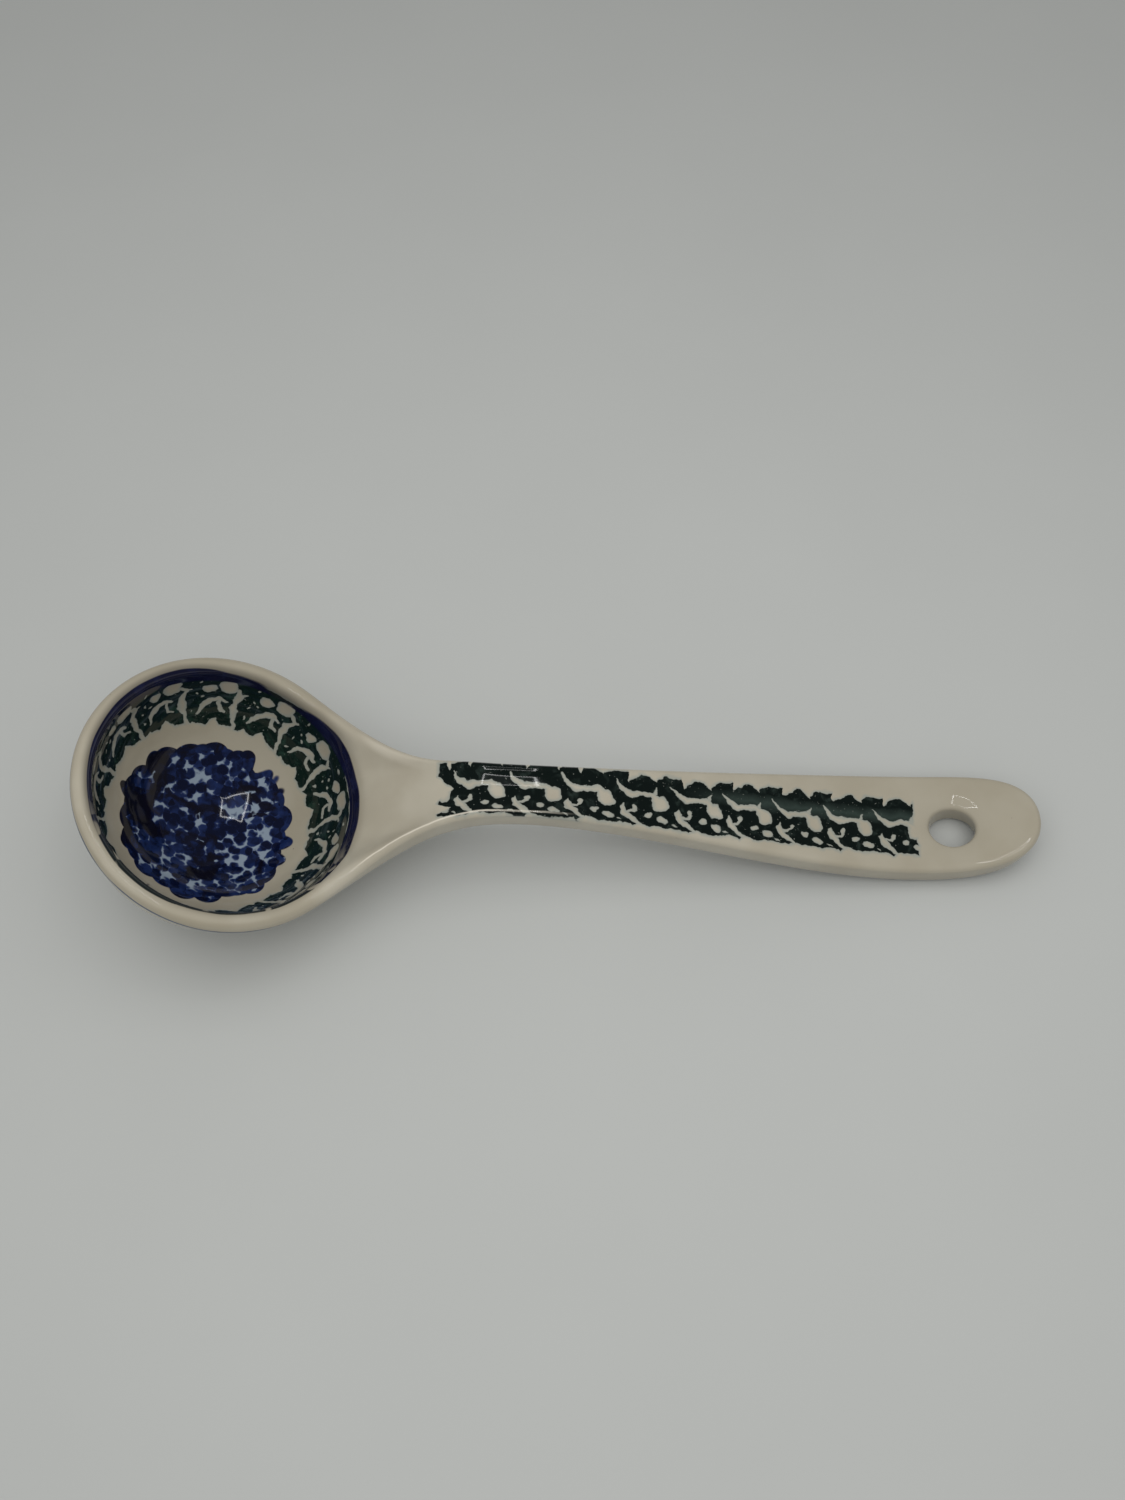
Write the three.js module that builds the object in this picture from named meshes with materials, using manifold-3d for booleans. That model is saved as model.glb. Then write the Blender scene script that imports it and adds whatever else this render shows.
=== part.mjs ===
// Serving ladle in glazed stoneware with sponged decoration, lying as it rests on a table.
// Millimetres, +Z up, handle along +X, origin on the flat under the bowl.
import * as THREE from "three";
import { mergeVertices } from "three/addons/utils/BufferGeometryUtils.js";
import Module from "manifold-3d";

// Bowl: an ellipsoid shell with a rolled rim, tipped towards the handle
const RIM_RADIUS = 31.6; // centre line of the roll
const RIM_ROLL = 2.25; // half the thickness of the rim
const BOWL_DEPTH = 26.6; // inside, below the centre line of the rim
const BOWL_FLOOR = 4.8; // thickness at the pole
const BOWL_WALL = 3.4; // thickness under the rim
const RIM_UNDERCUT = THREE.MathUtils.degToRad(50); // how far the roll turns under before the flank
const BOWL_TILT = THREE.MathUtils.degToRad(27.4);
const FOOT_SINK = 0.7; // how much the flat under the bowl takes off the round
const FLANK_ANGLE = THREE.MathUtils.degToRad(25); // where the shoulder's underside meets the flank

// Shoulder: the web that leaves the rim and narrows into the neck
const FLARE_START = THREE.MathUtils.degToRad(60); // direction in which the edge leaves the round rim
const FLARE_RIM_PULL = 11; // stiffness of the edge curve at the rim
const FLARE_NECK_PULL = 12; // stiffness of the edge curve at the neck
const OPENING_SHARE = THREE.MathUtils.degToRad(16); // part of the opening that faces the neck

// Handle: a flat bar with rounded edges that rises out of the shoulder and falls to the table
const JOINT_REACH = 19.45; // from the front of the rim to the joint
const JOINT_RISE = 8.55; // height of the joint's middle over the front of the rim
const JOINT_HALF_WIDTH = 8.7;
const NECK_RISE = 6.5; // from the joint to the place where its rise levels off
const NECK_LENGTH = 18.5; // from the joint to the waist
const CREST_LEAD = 10.5; // from the joint to the crest
const CREST_RISE = 2; // height of the crest over the joint
const CREST_PULL = 29.3;
const WAIST_HALF_WIDTH = 6.6;
const WAIST_LEAD = 9; // length of the curve's pull on the joint side of the waist
const WAIST_PULL = 33;
const HANDLE_REACH = 126; // from the joint to the middle of the hole
const REST_LEAD = 5.7; // the handle lies on the table this far before the middle of the hole
const REST_PULL = 34;
const WIDEST_HALF_WIDTH = 13;
const TIP_REACH = 20.2; // from the middle of the hole to the end
const TIP_PULL_ALONG = 14;
const TIP_PULL_ACROSS = 12.7;
const TIP_CURL = 4.5; // rise of the tip above the resting part
const HANDLE_HALF_THICKNESS = 4;
const HANDLE_EDGE_RADIUS = 2.4;
const HANDLE_CROWN = 0.35;
const SLIP_THICKNESS = 0.8;

// Hanging hole with rounded mouths
const HOLE_RADIUS = 5.6; // along the handle
const HOLE_MOUTH_SPREAD = 3.2; // width of the soft lip on the top face
const HOLE_MOUTH_DEPTH = 1.7;
const HOLE_BACK_RADIUS = 1.3; // round of the edge on the underside
const HOLE_SQUEEZE = 0.87; // the hole is a little narrower across the handle
const HOLE_LEAN = 0.2; // the hole goes through square to the curled end, this much per depth

// Colour coats under the glaze; heights in the bowl run down its axis from the centre line of the rim
const COAT_THICKNESS = 0.2;
const RIM_LINE_HEIGHT = 2.6;
const BORDER_HEIGHT = 13.5;
const PLAIN_RING_HEIGHT = 2.8; // bare ring between the border and the medallion that fills the floor
const STRIP_JOINT_GAP = 0.4;
const STRIP_HOLE_GAP = 0.3; // from the end of the strip to the mouth of the hole
const STRIP_NECK_MARGIN = 0.5; // bare part of the flat top on each side of the strip at the neck
const STRIP_END_MARGIN = 3.6; // and at its wide end

// Mesh density
const RIM_STEPS = 36;
const FLARE_STEPS = 9;
const ROLL_STEPS = 4;
const WEB_STEPS = 5;
const FLANK_STEPS = 4;
const WALL_STEPS = 4;
const NECK_STATIONS = 5;
const SHAFT_STATIONS = 20;
const TIP_STATIONS = 10;
const HOLE_SEGMENTS = 32;

// Precision
const MERGE_DISTANCE = 1e-4;
const SLOPE_STEP = 0.01;
const HALVINGS = 40;

const WALL_RADIUS = RIM_RADIUS - RIM_ROLL;
const FLANK_RADIUS = WALL_RADIUS + BOWL_WALL;
const FLANK_DEPTH = BOWL_DEPTH + BOWL_FLOOR;

const AXIS = new THREE.Vector3(Math.sin(BOWL_TILT), 0, Math.cos(BOWL_TILT));
const FORWARD = new THREE.Vector3(Math.cos(BOWL_TILT), 0, -Math.sin(BOWL_TILT));
const SIDE = new THREE.Vector3(0, 1, 0);
const UP = new THREE.Vector3(0, 0, 1);

// Height of the bowl's centre when its flat stands on the table, and the place of that flat.
const reach = Math.hypot(FLANK_RADIUS * Math.sin(BOWL_TILT), FLANK_DEPTH * Math.cos(BOWL_TILT));
const BOWL_HEIGHT = reach - FOOT_SINK;
const FOOT_X = ((FLANK_RADIUS ** 2 - FLANK_DEPTH ** 2) * AXIS.x * AXIS.z) / reach;
const CENTRE = new THREE.Vector3(0, 0, BOWL_HEIGHT);

// Places along the handle, measured from the centre of the bowl, and heights over the table.
const JOINT_X = RIM_RADIUS * Math.cos(BOWL_TILT) + JOINT_REACH;
const JOINT_HEIGHT = BOWL_HEIGHT - RIM_RADIUS * Math.sin(BOWL_TILT) + JOINT_RISE;
const CREST_X = JOINT_X + CREST_LEAD;
const CREST_HEIGHT = JOINT_HEIGHT + CREST_RISE;
const WAIST_X = JOINT_X + NECK_LENGTH;
const HOLE_X = JOINT_X + HANDLE_REACH;
const REST_X = HOLE_X - REST_LEAD;
const TIP_X = HOLE_X + TIP_REACH;

// The handle is widest where the strip ends, at the mouth of the hole.
const WIDEST_X = HOLE_X - HOLE_RADIUS - HOLE_MOUTH_SPREAD - STRIP_HOLE_GAP;
const HANDLE_START_X = JOINT_X + SLIP_THICKNESS;
const STRIP_START_X = HANDLE_START_X + STRIP_JOINT_GAP;

const wasm = await Module();
wasm.setup();

// Numbers from a to b in equal steps, both ends included.
function steps(a, b, count) {
  return Array.from({ length: count + 1 }, (_, i) => a + ((b - a) * i) / count);
}

// A point of the bowl in its own tilted frame: distance from the axis, direction, height over the rim.
function bowlPoint(radius, angle, height) {
  return CENTRE.clone()
    .addScaledVector(FORWARD, radius * Math.cos(angle))
    .addScaledVector(SIDE, radius * Math.sin(angle))
    .addScaledVector(AXIS, height);
}

// The direction, in the plane of the rim, that points away from the axis.
function outward(angle) {
  return FORWARD.clone().multiplyScalar(Math.cos(angle)).addScaledVector(SIDE, Math.sin(angle));
}

function moved(point, direction, distance) {
  return point.clone().addScaledVector(direction, distance);
}

// Closed geometry from rings of equal length. Rings that shrink to a point or fold flat lose the
// triangles with no area.
function loft(rings, { loop = false, caps = false } = {}) {
  const corners = [];
  const last = loop ? rings.length : rings.length - 1;
  for (let r = 0; r < last; r++) {
    const a = rings[r];
    const b = rings[(r + 1) % rings.length];
    a.forEach((point, i) => {
      const j = (i + 1) % a.length;
      corners.push(point, a[j], b[j], point, b[j], b[i]);
    });
  }
  if (caps) {
    corners.push(...cap(rings[0]).reverse(), ...cap(rings[rings.length - 1]));
  }
  return closed(corners);
}

// A flat end made of triangles round the middle of a ring.
function cap(ring) {
  const middle = new THREE.Vector3();
  ring.forEach((point) => middle.addScaledVector(point, 1 / ring.length));
  return ring.flatMap((point, i) => [middle, point, ring[(i + 1) % ring.length]]);
}

// Joins equal corners, drops empty triangles and turns the faces outwards.
function closed(corners) {
  const joined = mergeVertices(new THREE.BufferGeometry().setFromPoints(corners), MERGE_DISTANCE);
  const index = [];
  for (let i = 0; i < joined.index.count; i += 3) {
    const [a, b, c] = [0, 1, 2].map((k) => joined.index.getX(i + k));
    if (a !== b && b !== c && c !== a) {
      index.push(a, b, c);
    }
  }
  if (volume(joined, index) < 0) {
    index.reverse();
  }
  return joined.setIndex(index);
}

// Signed volume of a triangle mesh: a sixth of each corner triple's product.
function volume(geometry, index) {
  const at = (i) => new THREE.Vector3().fromBufferAttribute(geometry.getAttribute("position"), i);
  let sum = 0;
  for (let i = 0; i < index.length; i += 3) {
    sum += at(index[i]).dot(at(index[i + 1]).cross(at(index[i + 2]))) / 6;
  }
  return sum;
}

function toSolid(geometry) {
  const plain = geometry.clone();
  plain.deleteAttribute("normal");
  plain.deleteAttribute("uv");
  const merged = mergeVertices(plain, MERGE_DISTANCE);
  return new wasm.Manifold(
    new wasm.Mesh({
      numProp: 3,
      vertProperties: merged.getAttribute("position").array,
      triVerts: new Uint32Array(merged.index.array),
    }),
  );
}

function cut(geometry, tool) {
  const mesh = toSolid(geometry).subtract(toSolid(tool)).getMesh();
  return new THREE.BufferGeometry()
    .setAttribute("position", new THREE.BufferAttribute(mesh.vertProperties, 3))
    .setIndex(new THREE.BufferAttribute(mesh.triVerts, 1));
}

// Middle line of the handle in the X-Z plane: a short rise, a long fall to the table and a curl.
const spine = new THREE.CurvePath();
spine.add(
  new THREE.QuadraticBezierCurve(
    new THREE.Vector2(JOINT_X, JOINT_HEIGHT),
    new THREE.Vector2(JOINT_X + NECK_RISE, CREST_HEIGHT),
    new THREE.Vector2(CREST_X, CREST_HEIGHT),
  ),
);
spine.add(
  new THREE.CubicBezierCurve(
    new THREE.Vector2(CREST_X, CREST_HEIGHT),
    new THREE.Vector2(CREST_X + CREST_PULL, CREST_HEIGHT),
    new THREE.Vector2(REST_X - REST_PULL, HANDLE_HALF_THICKNESS),
    new THREE.Vector2(REST_X, HANDLE_HALF_THICKNESS),
  ),
);
spine.add(
  new THREE.QuadraticBezierCurve(
    new THREE.Vector2(REST_X, HANDLE_HALF_THICKNESS),
    new THREE.Vector2((REST_X + TIP_X) / 2, HANDLE_HALF_THICKNESS),
    new THREE.Vector2(TIP_X, HANDLE_HALF_THICKNESS + TIP_CURL),
  ),
);

// Edge of the handle in plan: joint, waist, widest part and rounded tip.
const plan = new THREE.CurvePath();
plan.add(
  new THREE.QuadraticBezierCurve(
    new THREE.Vector2(JOINT_X, JOINT_HALF_WIDTH),
    new THREE.Vector2(WAIST_X - WAIST_LEAD, WAIST_HALF_WIDTH),
    new THREE.Vector2(WAIST_X, WAIST_HALF_WIDTH),
  ),
);
plan.add(
  new THREE.CubicBezierCurve(
    new THREE.Vector2(WAIST_X, WAIST_HALF_WIDTH),
    new THREE.Vector2(WAIST_X + WAIST_PULL, WAIST_HALF_WIDTH),
    new THREE.Vector2(WIDEST_X - WAIST_PULL, WIDEST_HALF_WIDTH),
    new THREE.Vector2(WIDEST_X, WIDEST_HALF_WIDTH),
  ),
);
const tipCurve = new THREE.CubicBezierCurve(
  new THREE.Vector2(WIDEST_X, WIDEST_HALF_WIDTH),
  new THREE.Vector2(WIDEST_X + TIP_PULL_ALONG, WIDEST_HALF_WIDTH),
  new THREE.Vector2(TIP_X, TIP_PULL_ACROSS),
  new THREE.Vector2(TIP_X, 0),
);

// Second coordinate of a curve path at a given X, by halving; X grows along every curve.
function heightAt(path, x) {
  const curve = path.curves.find((c) => x <= c.getPoint(1).x) ?? path.curves.at(-1);
  let low = 0;
  let high = 1;
  for (let i = 0; i < HALVINGS; i++) {
    const middle = (low + high) / 2;
    if (curve.getPoint(middle).x < x) {
      low = middle;
    } else {
      high = middle;
    }
  }
  return curve.getPoint((low + high) / 2).y;
}

function slope(path, x) {
  return (heightAt(path, x + SLOPE_STEP) - heightAt(path, x)) / SLOPE_STEP;
}

// Edge of the handle where it is cut by the plane at X: centre of the edge round and its direction.
function shaftEdge(x) {
  const across = heightAt(plan, x) - HANDLE_EDGE_RADIUS;
  return { x, across, out: new THREE.Vector2(0, 1) };
}

// Edge of the rounded tip, whose edge round follows the outline and ends on the middle line.
function tipEdge(t) {
  const along = t < 1 ? tipCurve.getTangent(t) : new THREE.Vector2(0, -1);
  const out = new THREE.Vector2(-along.y, along.x);
  const centre = tipCurve.getPoint(t).addScaledVector(out, -HANDLE_EDGE_RADIUS);
  return { x: centre.x, across: centre.y, out };
}

// Share of the flat top that the strip covers; past the widest part it stays as it is there.
function stripShare(x) {
  const at = Math.min(x, WIDEST_X);
  const t = (at - JOINT_X) / (WIDEST_X - JOINT_X);
  return 1 - THREE.MathUtils.lerp(STRIP_NECK_MARGIN, STRIP_END_MARGIN, t) / shaftEdge(at).across;
}

// Places across the flat top, from one edge round to the other, as shares of the half width.
function topShares(x) {
  const share = stripShare(x);
  return [-1, -share, -share / 2, 0, share / 2, share, 1];
}

function topPoint(edge, share) {
  const crown = HANDLE_CROWN * (1 - share ** 2) ** 2;
  const height = heightAt(spine, edge.x) + HANDLE_HALF_THICKNESS + crown;
  return new THREE.Vector3(edge.x, share * edge.across, height);
}

// Points of an edge from its top to the angle below its middle where the underside takes over. The
// edge is a round of the given radius above and one below, with a straight side between them.
function rolledEdge({ centre, out, up, half, radius, turn }) {
  const lift = half - radius;
  const sink = (lift * turn) / (Math.PI / 2);
  const place = (angle, shift) =>
    moved(centre, out, radius * Math.cos(angle)).addScaledVector(up, radius * Math.sin(angle) + shift);
  return [
    ...steps(Math.PI / 2, 0, ROLL_STEPS).map((angle) => place(angle, lift)),
    ...steps(0, -turn, ROLL_STEPS).map((angle) => place(angle, -sink)),
  ];
}

// Direction in which an edge leaves its last point.
function underDirection({ out, up, turn }) {
  return out.clone().multiplyScalar(-Math.sin(turn)).addScaledVector(up, -Math.cos(turn));
}

// One edge of the handle from the top face to the underside; side is 1 or -1.
function handleEdge(edge, side) {
  return rolledEdge({
    centre: new THREE.Vector3(edge.x, side * edge.across, heightAt(spine, edge.x)),
    out: new THREE.Vector3(edge.out.x, side * edge.out.y, 0),
    up: UP,
    half: HANDLE_HALF_THICKNESS,
    radius: HANDLE_EDGE_RADIUS,
    turn: Math.PI / 2,
  });
}

// Closed ring round the handle: top face, far edge, underside, near edge.
function handleRing(edge) {
  const top = topShares(edge.x).map((share) => topPoint(edge, share));
  const far = handleEdge(edge, 1);
  const near = handleEdge(edge, -1).reverse();
  const bottom = topShares(edge.x)
    .reverse()
    .map((share) => {
      const height = heightAt(spine, edge.x) - HANDLE_HALF_THICKNESS;
      return new THREE.Vector3(edge.x, share * edge.across, height);
    });
  return [...top, ...far.slice(1, -1), ...bottom, ...near.slice(1, -1)];
}

// Tool for the hanging hole: a bore that opens out at the top and is rounded at the back. It leans, and
// follows the curl of the handle.
function holeTool() {
  const top = 2 * HANDLE_HALF_THICKNESS + HANDLE_CROWN;
  const mouth = HOLE_RADIUS + HOLE_MOUTH_SPREAD;
  const back = HOLE_RADIUS + HOLE_BACK_RADIUS;
  const lip = top - HOLE_MOUTH_DEPTH;
  const profile = new THREE.Path();
  profile.moveTo(0, -HOLE_BACK_RADIUS);
  profile.lineTo(back, -HOLE_BACK_RADIUS);
  profile.lineTo(back, 0);
  profile.absarc(back, HOLE_BACK_RADIUS, HOLE_BACK_RADIUS, -Math.PI / 2, -Math.PI, true);
  profile.absellipse(mouth, lip, HOLE_MOUTH_SPREAD, HOLE_MOUTH_DEPTH, Math.PI, Math.PI / 2, true);
  profile.lineTo(mouth, top + HOLE_MOUTH_DEPTH);
  profile.lineTo(0, top + HOLE_MOUTH_DEPTH);
  const tool = new THREE.LatheGeometry(profile.getPoints(ROLL_STEPS), HOLE_SEGMENTS);
  tool.rotateX(Math.PI / 2).scale(1, HOLE_SQUEEZE, 1);
  const points = tool.getAttribute("position");
  for (let i = 0; i < points.count; i++) {
    const depth = top - points.getZ(i);
    const x = HOLE_X + points.getX(i) + HOLE_LEAN * depth;
    points.setXYZ(i, x, points.getY(i), heightAt(spine, x) + top - HANDLE_HALF_THICKNESS - depth);
  }
  return tool;
}

// Places along the handle where both its own mesh and the strip's have a ring.
const stripStations = [
  ...steps(STRIP_START_X, WAIST_X, NECK_STATIONS).slice(0, -1),
  ...steps(WAIST_X, WIDEST_X, SHAFT_STATIONS),
];

function handleGeometry() {
  const edges = [
    shaftEdge(HANDLE_START_X),
    ...stripStations.slice(0, -1).map(shaftEdge),
    ...steps(0, 1, TIP_STATIONS).map(tipEdge),
  ];
  const rings = edges.map(handleRing);
  const bar = loft([new Array(rings[0].length).fill(cap(rings[0])[0]), ...rings]);
  return cut(bar, holeTool());
}

function slipGeometry() {
  const rings = [JOINT_X, HANDLE_START_X].map((x) => handleRing(shaftEdge(x)));
  return loft(rings, { caps: true });
}

function bezier(a, b, c, d, count) {
  return new THREE.CubicBezierCurve3(a, b, c, d).getPoints(count);
}

// Length of the pull, as a share of the radius, that bends a cubic curve into an arc of the given angle.
function arcPull(angle) {
  return (4 / 3) * Math.tan(angle / 4);
}

// One spoke of the bowl runs from the opening over the edge and under it to the flank. It holds the
// place on the opening, the points of its edge from top to bottom, and the directions at both ends.
function rimSpoke(angle) {
  const out = outward(angle);
  const centre = bowlPoint(RIM_RADIUS, angle, 0);
  const round = { centre, out, up: AXIS, half: RIM_ROLL, radius: RIM_ROLL, turn: RIM_UNDERCUT };
  return { angle, edge: rolledEdge(round), over: out, under: underDirection(round) };
}

// Edge curve of the shoulder on one side, from the joint back to the rim.
function flareSpokes(side) {
  const jointEdge = shaftEdge(JOINT_X);
  const neck = new THREE.Vector3(JOINT_X, side * jointEdge.across, JOINT_HEIGHT);
  const lean = new THREE.Vector3(1, side * slope(plan, JOINT_X), slope(spine, JOINT_X)).normalize();
  const rim = bowlPoint(RIM_RADIUS, side * FLARE_START, 0);
  const leave = outward(side * (FLARE_START - Math.PI / 2));
  const curve = new THREE.CubicBezierCurve3(
    neck,
    moved(neck, lean, -FLARE_NECK_PULL),
    moved(rim, leave, FLARE_RIM_PULL),
    rim,
  );
  return steps(0, 1, FLARE_STEPS)
    .slice(0, -1)
    .map((t) => {
      const rimShare = THREE.MathUtils.smoothstep(t, 0, 1);
      const out = SIDE.clone().multiplyScalar(side).lerp(outward(side * FLARE_START), rimShare);
      const round = {
        centre: curve.getPoint(t),
        out: out.normalize(),
        up: UP.clone().lerp(AXIS, rimShare).normalize(),
        half: THREE.MathUtils.lerp(HANDLE_HALF_THICKNESS, RIM_ROLL, rimShare),
        radius: THREE.MathUtils.lerp(HANDLE_EDGE_RADIUS, RIM_ROLL, rimShare),
        turn: THREE.MathUtils.lerp(Math.PI / 2, RIM_UNDERCUT, rimShare),
      };
      const angle = side * THREE.MathUtils.lerp(OPENING_SHARE, FLARE_START, t);
      return { angle, edge: rolledEdge(round), over: round.out, under: underDirection(round) };
    });
}

// Spokes that end on the flat face of the joint, between its two edge rounds.
function jointSpokes() {
  const edge = shaftEdge(JOINT_X);
  const along = new THREE.Vector3(1, 0, slope(spine, JOINT_X)).normalize();
  return topShares(JOINT_X)
    .slice(1, -1)
    .map((share) => {
      const top = topPoint(edge, share);
      const bottom = top.clone().setZ(JOINT_HEIGHT - HANDLE_HALF_THICKNESS);
      const face = steps(0, 1, 2 * ROLL_STEPS + 1).map((t) => top.clone().lerp(bottom, t));
      return { angle: share * OPENING_SHARE, edge: face, over: along, under: along.clone().negate() };
    });
}

function bowlSpokes() {
  const round = steps(FLARE_START, 2 * Math.PI - FLARE_START, RIM_STEPS);
  return [
    ...jointSpokes(),
    ...flareSpokes(1),
    ...round.map(rimSpoke),
    ...flareSpokes(-1).reverse(),
  ];
}

// Top of a spoke, from the opening to the edge.
function webPoints(spoke) {
  const quarter = arcPull(Math.PI / 2);
  const start = bowlPoint(WALL_RADIUS, spoke.angle, 0);
  const end = spoke.edge[0];
  const pull = (quarter * start.distanceTo(end)) / Math.SQRT2;
  const rise = moved(start, AXIS, quarter * RIM_ROLL);
  return bezier(start, rise, moved(end, spoke.over, -pull), end, WEB_STEPS);
}

// Underside of a spoke, from its edge to the flank of the bowl.
function flankPoints(spoke) {
  const start = spoke.edge.at(-1);
  const end = flankPoint(spoke.angle, FLANK_ANGLE);
  const plain = bowlPoint(FLANK_RADIUS, spoke.angle, 0).distanceTo(end);
  const pull = (arcPull(FLANK_ANGLE) * start.distanceTo(end)) / plain;
  const fall = outward(spoke.angle).multiplyScalar(-FLANK_RADIUS * Math.sin(FLANK_ANGLE));
  fall.addScaledVector(AXIS, -FLANK_DEPTH * Math.cos(FLANK_ANGLE));
  return bezier(
    start,
    moved(start, spoke.under, pull * FLANK_DEPTH),
    moved(end, fall, -pull),
    end,
    FLANK_STEPS,
  );
}

function flankPoint(angle, fall) {
  return bowlPoint(FLANK_RADIUS * Math.cos(fall), angle, -FLANK_DEPTH * Math.sin(fall));
}

function wallPoint(angle, fall) {
  return bowlPoint(WALL_RADIUS * Math.cos(fall), angle, -BOWL_DEPTH * Math.sin(fall));
}

// Angles below the rim, on the inner wall, of the edges of the colour coats.
const BORDER_DEPTH = RIM_LINE_HEIGHT + BORDER_HEIGHT;
const MEDALLION_DEPTH = BORDER_DEPTH + PLAIN_RING_HEIGHT;
const LINE_FALL = Math.asin(RIM_LINE_HEIGHT / BOWL_DEPTH);
const BORDER_FALL = Math.asin(BORDER_DEPTH / BOWL_DEPTH);
const MEDALLION_FALL = Math.asin(MEDALLION_DEPTH / BOWL_DEPTH);
const medallionFalls = steps(Math.PI / 2, MEDALLION_FALL, WALL_STEPS);
const borderFalls = steps(BORDER_FALL, LINE_FALL, WALL_STEPS);
const lineFalls = [LINE_FALL, 0];

const spokes = bowlSpokes();

function bowlGeometry() {
  const wallFalls = [...medallionFalls, ...borderFalls];
  const flankFalls = steps(FLANK_ANGLE, Math.PI / 2, 2 * WALL_STEPS).slice(1);
  const lines = spokes.map((spoke) => [
    ...wallFalls.map((fall) => wallPoint(spoke.angle, fall)),
    ...webPoints(spoke),
    ...spoke.edge.slice(1),
    ...flankPoints(spoke).slice(1),
    ...flankFalls.map((fall) => flankPoint(spoke.angle, fall)),
  ]);
  const rings = lines[0].map((_, row) => lines.map((line) => line[row]));
  const table = new THREE.BoxGeometry(2 * FLANK_RADIUS, 2 * FLANK_RADIUS, FLANK_DEPTH);
  return cut(loft(rings), table.translate(0, 0, -FLANK_DEPTH / 2));
}

// Coat on the inner wall between the given angles below the rim.
function wallCoat(falls) {
  const under = falls.map((fall) => spokes.map((spoke) => wallPoint(spoke.angle, fall)));
  const over = falls.map((fall) => spokes.map((spoke) => coatPoint(spoke.angle, fall)));
  const whole = falls[0] === Math.PI / 2;
  return loft([...under, ...over.reverse()], { loop: !whole });
}

function coatPoint(angle, fall) {
  const normal = outward(angle).multiplyScalar(-Math.cos(fall) / WALL_RADIUS);
  normal.addScaledVector(AXIS, Math.sin(fall) / BOWL_DEPTH).normalize();
  return moved(wallPoint(angle, fall), normal, COAT_THICKNESS);
}

// Coat on the flat top of the handle. It stands on the stations of the handle's own mesh.
function stripGeometry() {
  const rings = stripStations.map((x) => {
    const under = topShares(x)
      .slice(1, -1)
      .map((share) => topPoint(shaftEdge(x), share));
    return [...under, ...under.map((point) => moved(point, UP, COAT_THICKNESS)).reverse()];
  });
  return loft(rings, { caps: true });
}

const stoneware = { color: 0xd9d2bf, roughness: 0.22, metalness: 0 };
const slip = { color: 0xcfc7b2, roughness: 0.35, metalness: 0 };
const navy = { color: 0x161b3d, roughness: 0.2, metalness: 0 };
const cobalt = { color: 0x24336f, roughness: 0.2, metalness: 0 };
const green = { color: 0x1d2f2b, roughness: 0.2, metalness: 0 };

function piece(name, geometry, finish) {
  const mesh = new THREE.Mesh(geometry, new THREE.MeshStandardMaterial(finish));
  mesh.name = name;
  return mesh;
}

const ladle = new THREE.Group();
ladle.name = "ladle";
ladle.position.x = -FOOT_X;
ladle.add(
  piece("bowl", bowlGeometry(), stoneware),
  piece("luting_slip", slipGeometry(), slip),
  piece("handle", handleGeometry(), stoneware),
  piece("rim_line", wallCoat(lineFalls), navy),
  piece("bowl_border", wallCoat(borderFalls), green),
  piece("bowl_medallion", wallCoat(medallionFalls), cobalt),
  piece("handle_border", stripGeometry(), green),
);

export default ladle;
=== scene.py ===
"""Dresses a stoneware soup ladle: smooth glazed clay, sponged colours, camera and soft studio light."""
import logging
import math
from dataclasses import dataclass, field
from enum import Enum
from functools import reduce
from typing import Callable, Iterable, Sequence, Union

import bmesh
import bpy
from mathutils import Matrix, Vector


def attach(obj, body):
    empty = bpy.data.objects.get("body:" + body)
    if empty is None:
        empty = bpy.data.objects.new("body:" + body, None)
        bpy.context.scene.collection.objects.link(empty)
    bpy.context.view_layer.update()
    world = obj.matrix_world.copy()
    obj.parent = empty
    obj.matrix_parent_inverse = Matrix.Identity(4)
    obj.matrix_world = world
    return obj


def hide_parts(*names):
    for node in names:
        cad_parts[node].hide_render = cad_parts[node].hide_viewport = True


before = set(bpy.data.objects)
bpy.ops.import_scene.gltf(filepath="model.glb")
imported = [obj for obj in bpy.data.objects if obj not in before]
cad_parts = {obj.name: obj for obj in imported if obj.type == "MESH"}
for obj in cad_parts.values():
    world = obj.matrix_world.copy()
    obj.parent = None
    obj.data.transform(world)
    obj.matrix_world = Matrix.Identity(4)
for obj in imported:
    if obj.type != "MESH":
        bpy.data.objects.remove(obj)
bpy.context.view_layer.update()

LOG = logging.getLogger("ladle")
MM = 0.001
EDGE_STEPS = 8
HALVINGS = 40
TINY = 1e-6
THIRDS = (1 / 3, 2 / 3)
QUARTER_PULL = 0.5523
MERGE_DISTANCE = MM / 100
PLANE_SLACK = MM / 1000
QUAD_CORNERS = 4
CRISP = 4.0
PAINT_EDGE = (-0.12, 0.12)
WALL_MEASURE = 28.0
WALL_SLACK = 1.2
NEAR_SIDE = -90.0
UP = Vector((0.0, 0.0, 1.0))
SIDE = Vector((0.0, 1.0, 0.0))


def lerp(start: float, end: float, share: float) -> float:
    """Returns the number a share of the way from start to end."""
    return start + (end - start) * share


def steps(count: int) -> list[float]:
    """Returns the shares 0 to 1 in equal steps, both ends included."""
    return [index / count for index in range(count + 1)]


def ease(share: float) -> float:
    """Returns a share that leaves 0 and reaches 1 gently."""
    return share * share * (3 - 2 * share)


def straight(top: Vector, low: Vector) -> list[Vector]:
    """Returns points straight down from a top to a low point, as many as go round an edge."""
    return [top.lerp(low, share) for share in steps(EDGE_STEPS)]


def square_to(vector: Vector, up: Vector) -> Vector:
    """Returns the direction of a vector's part that is square to an up direction."""
    return (vector - up * vector.dot(up)).normalized()


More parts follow.
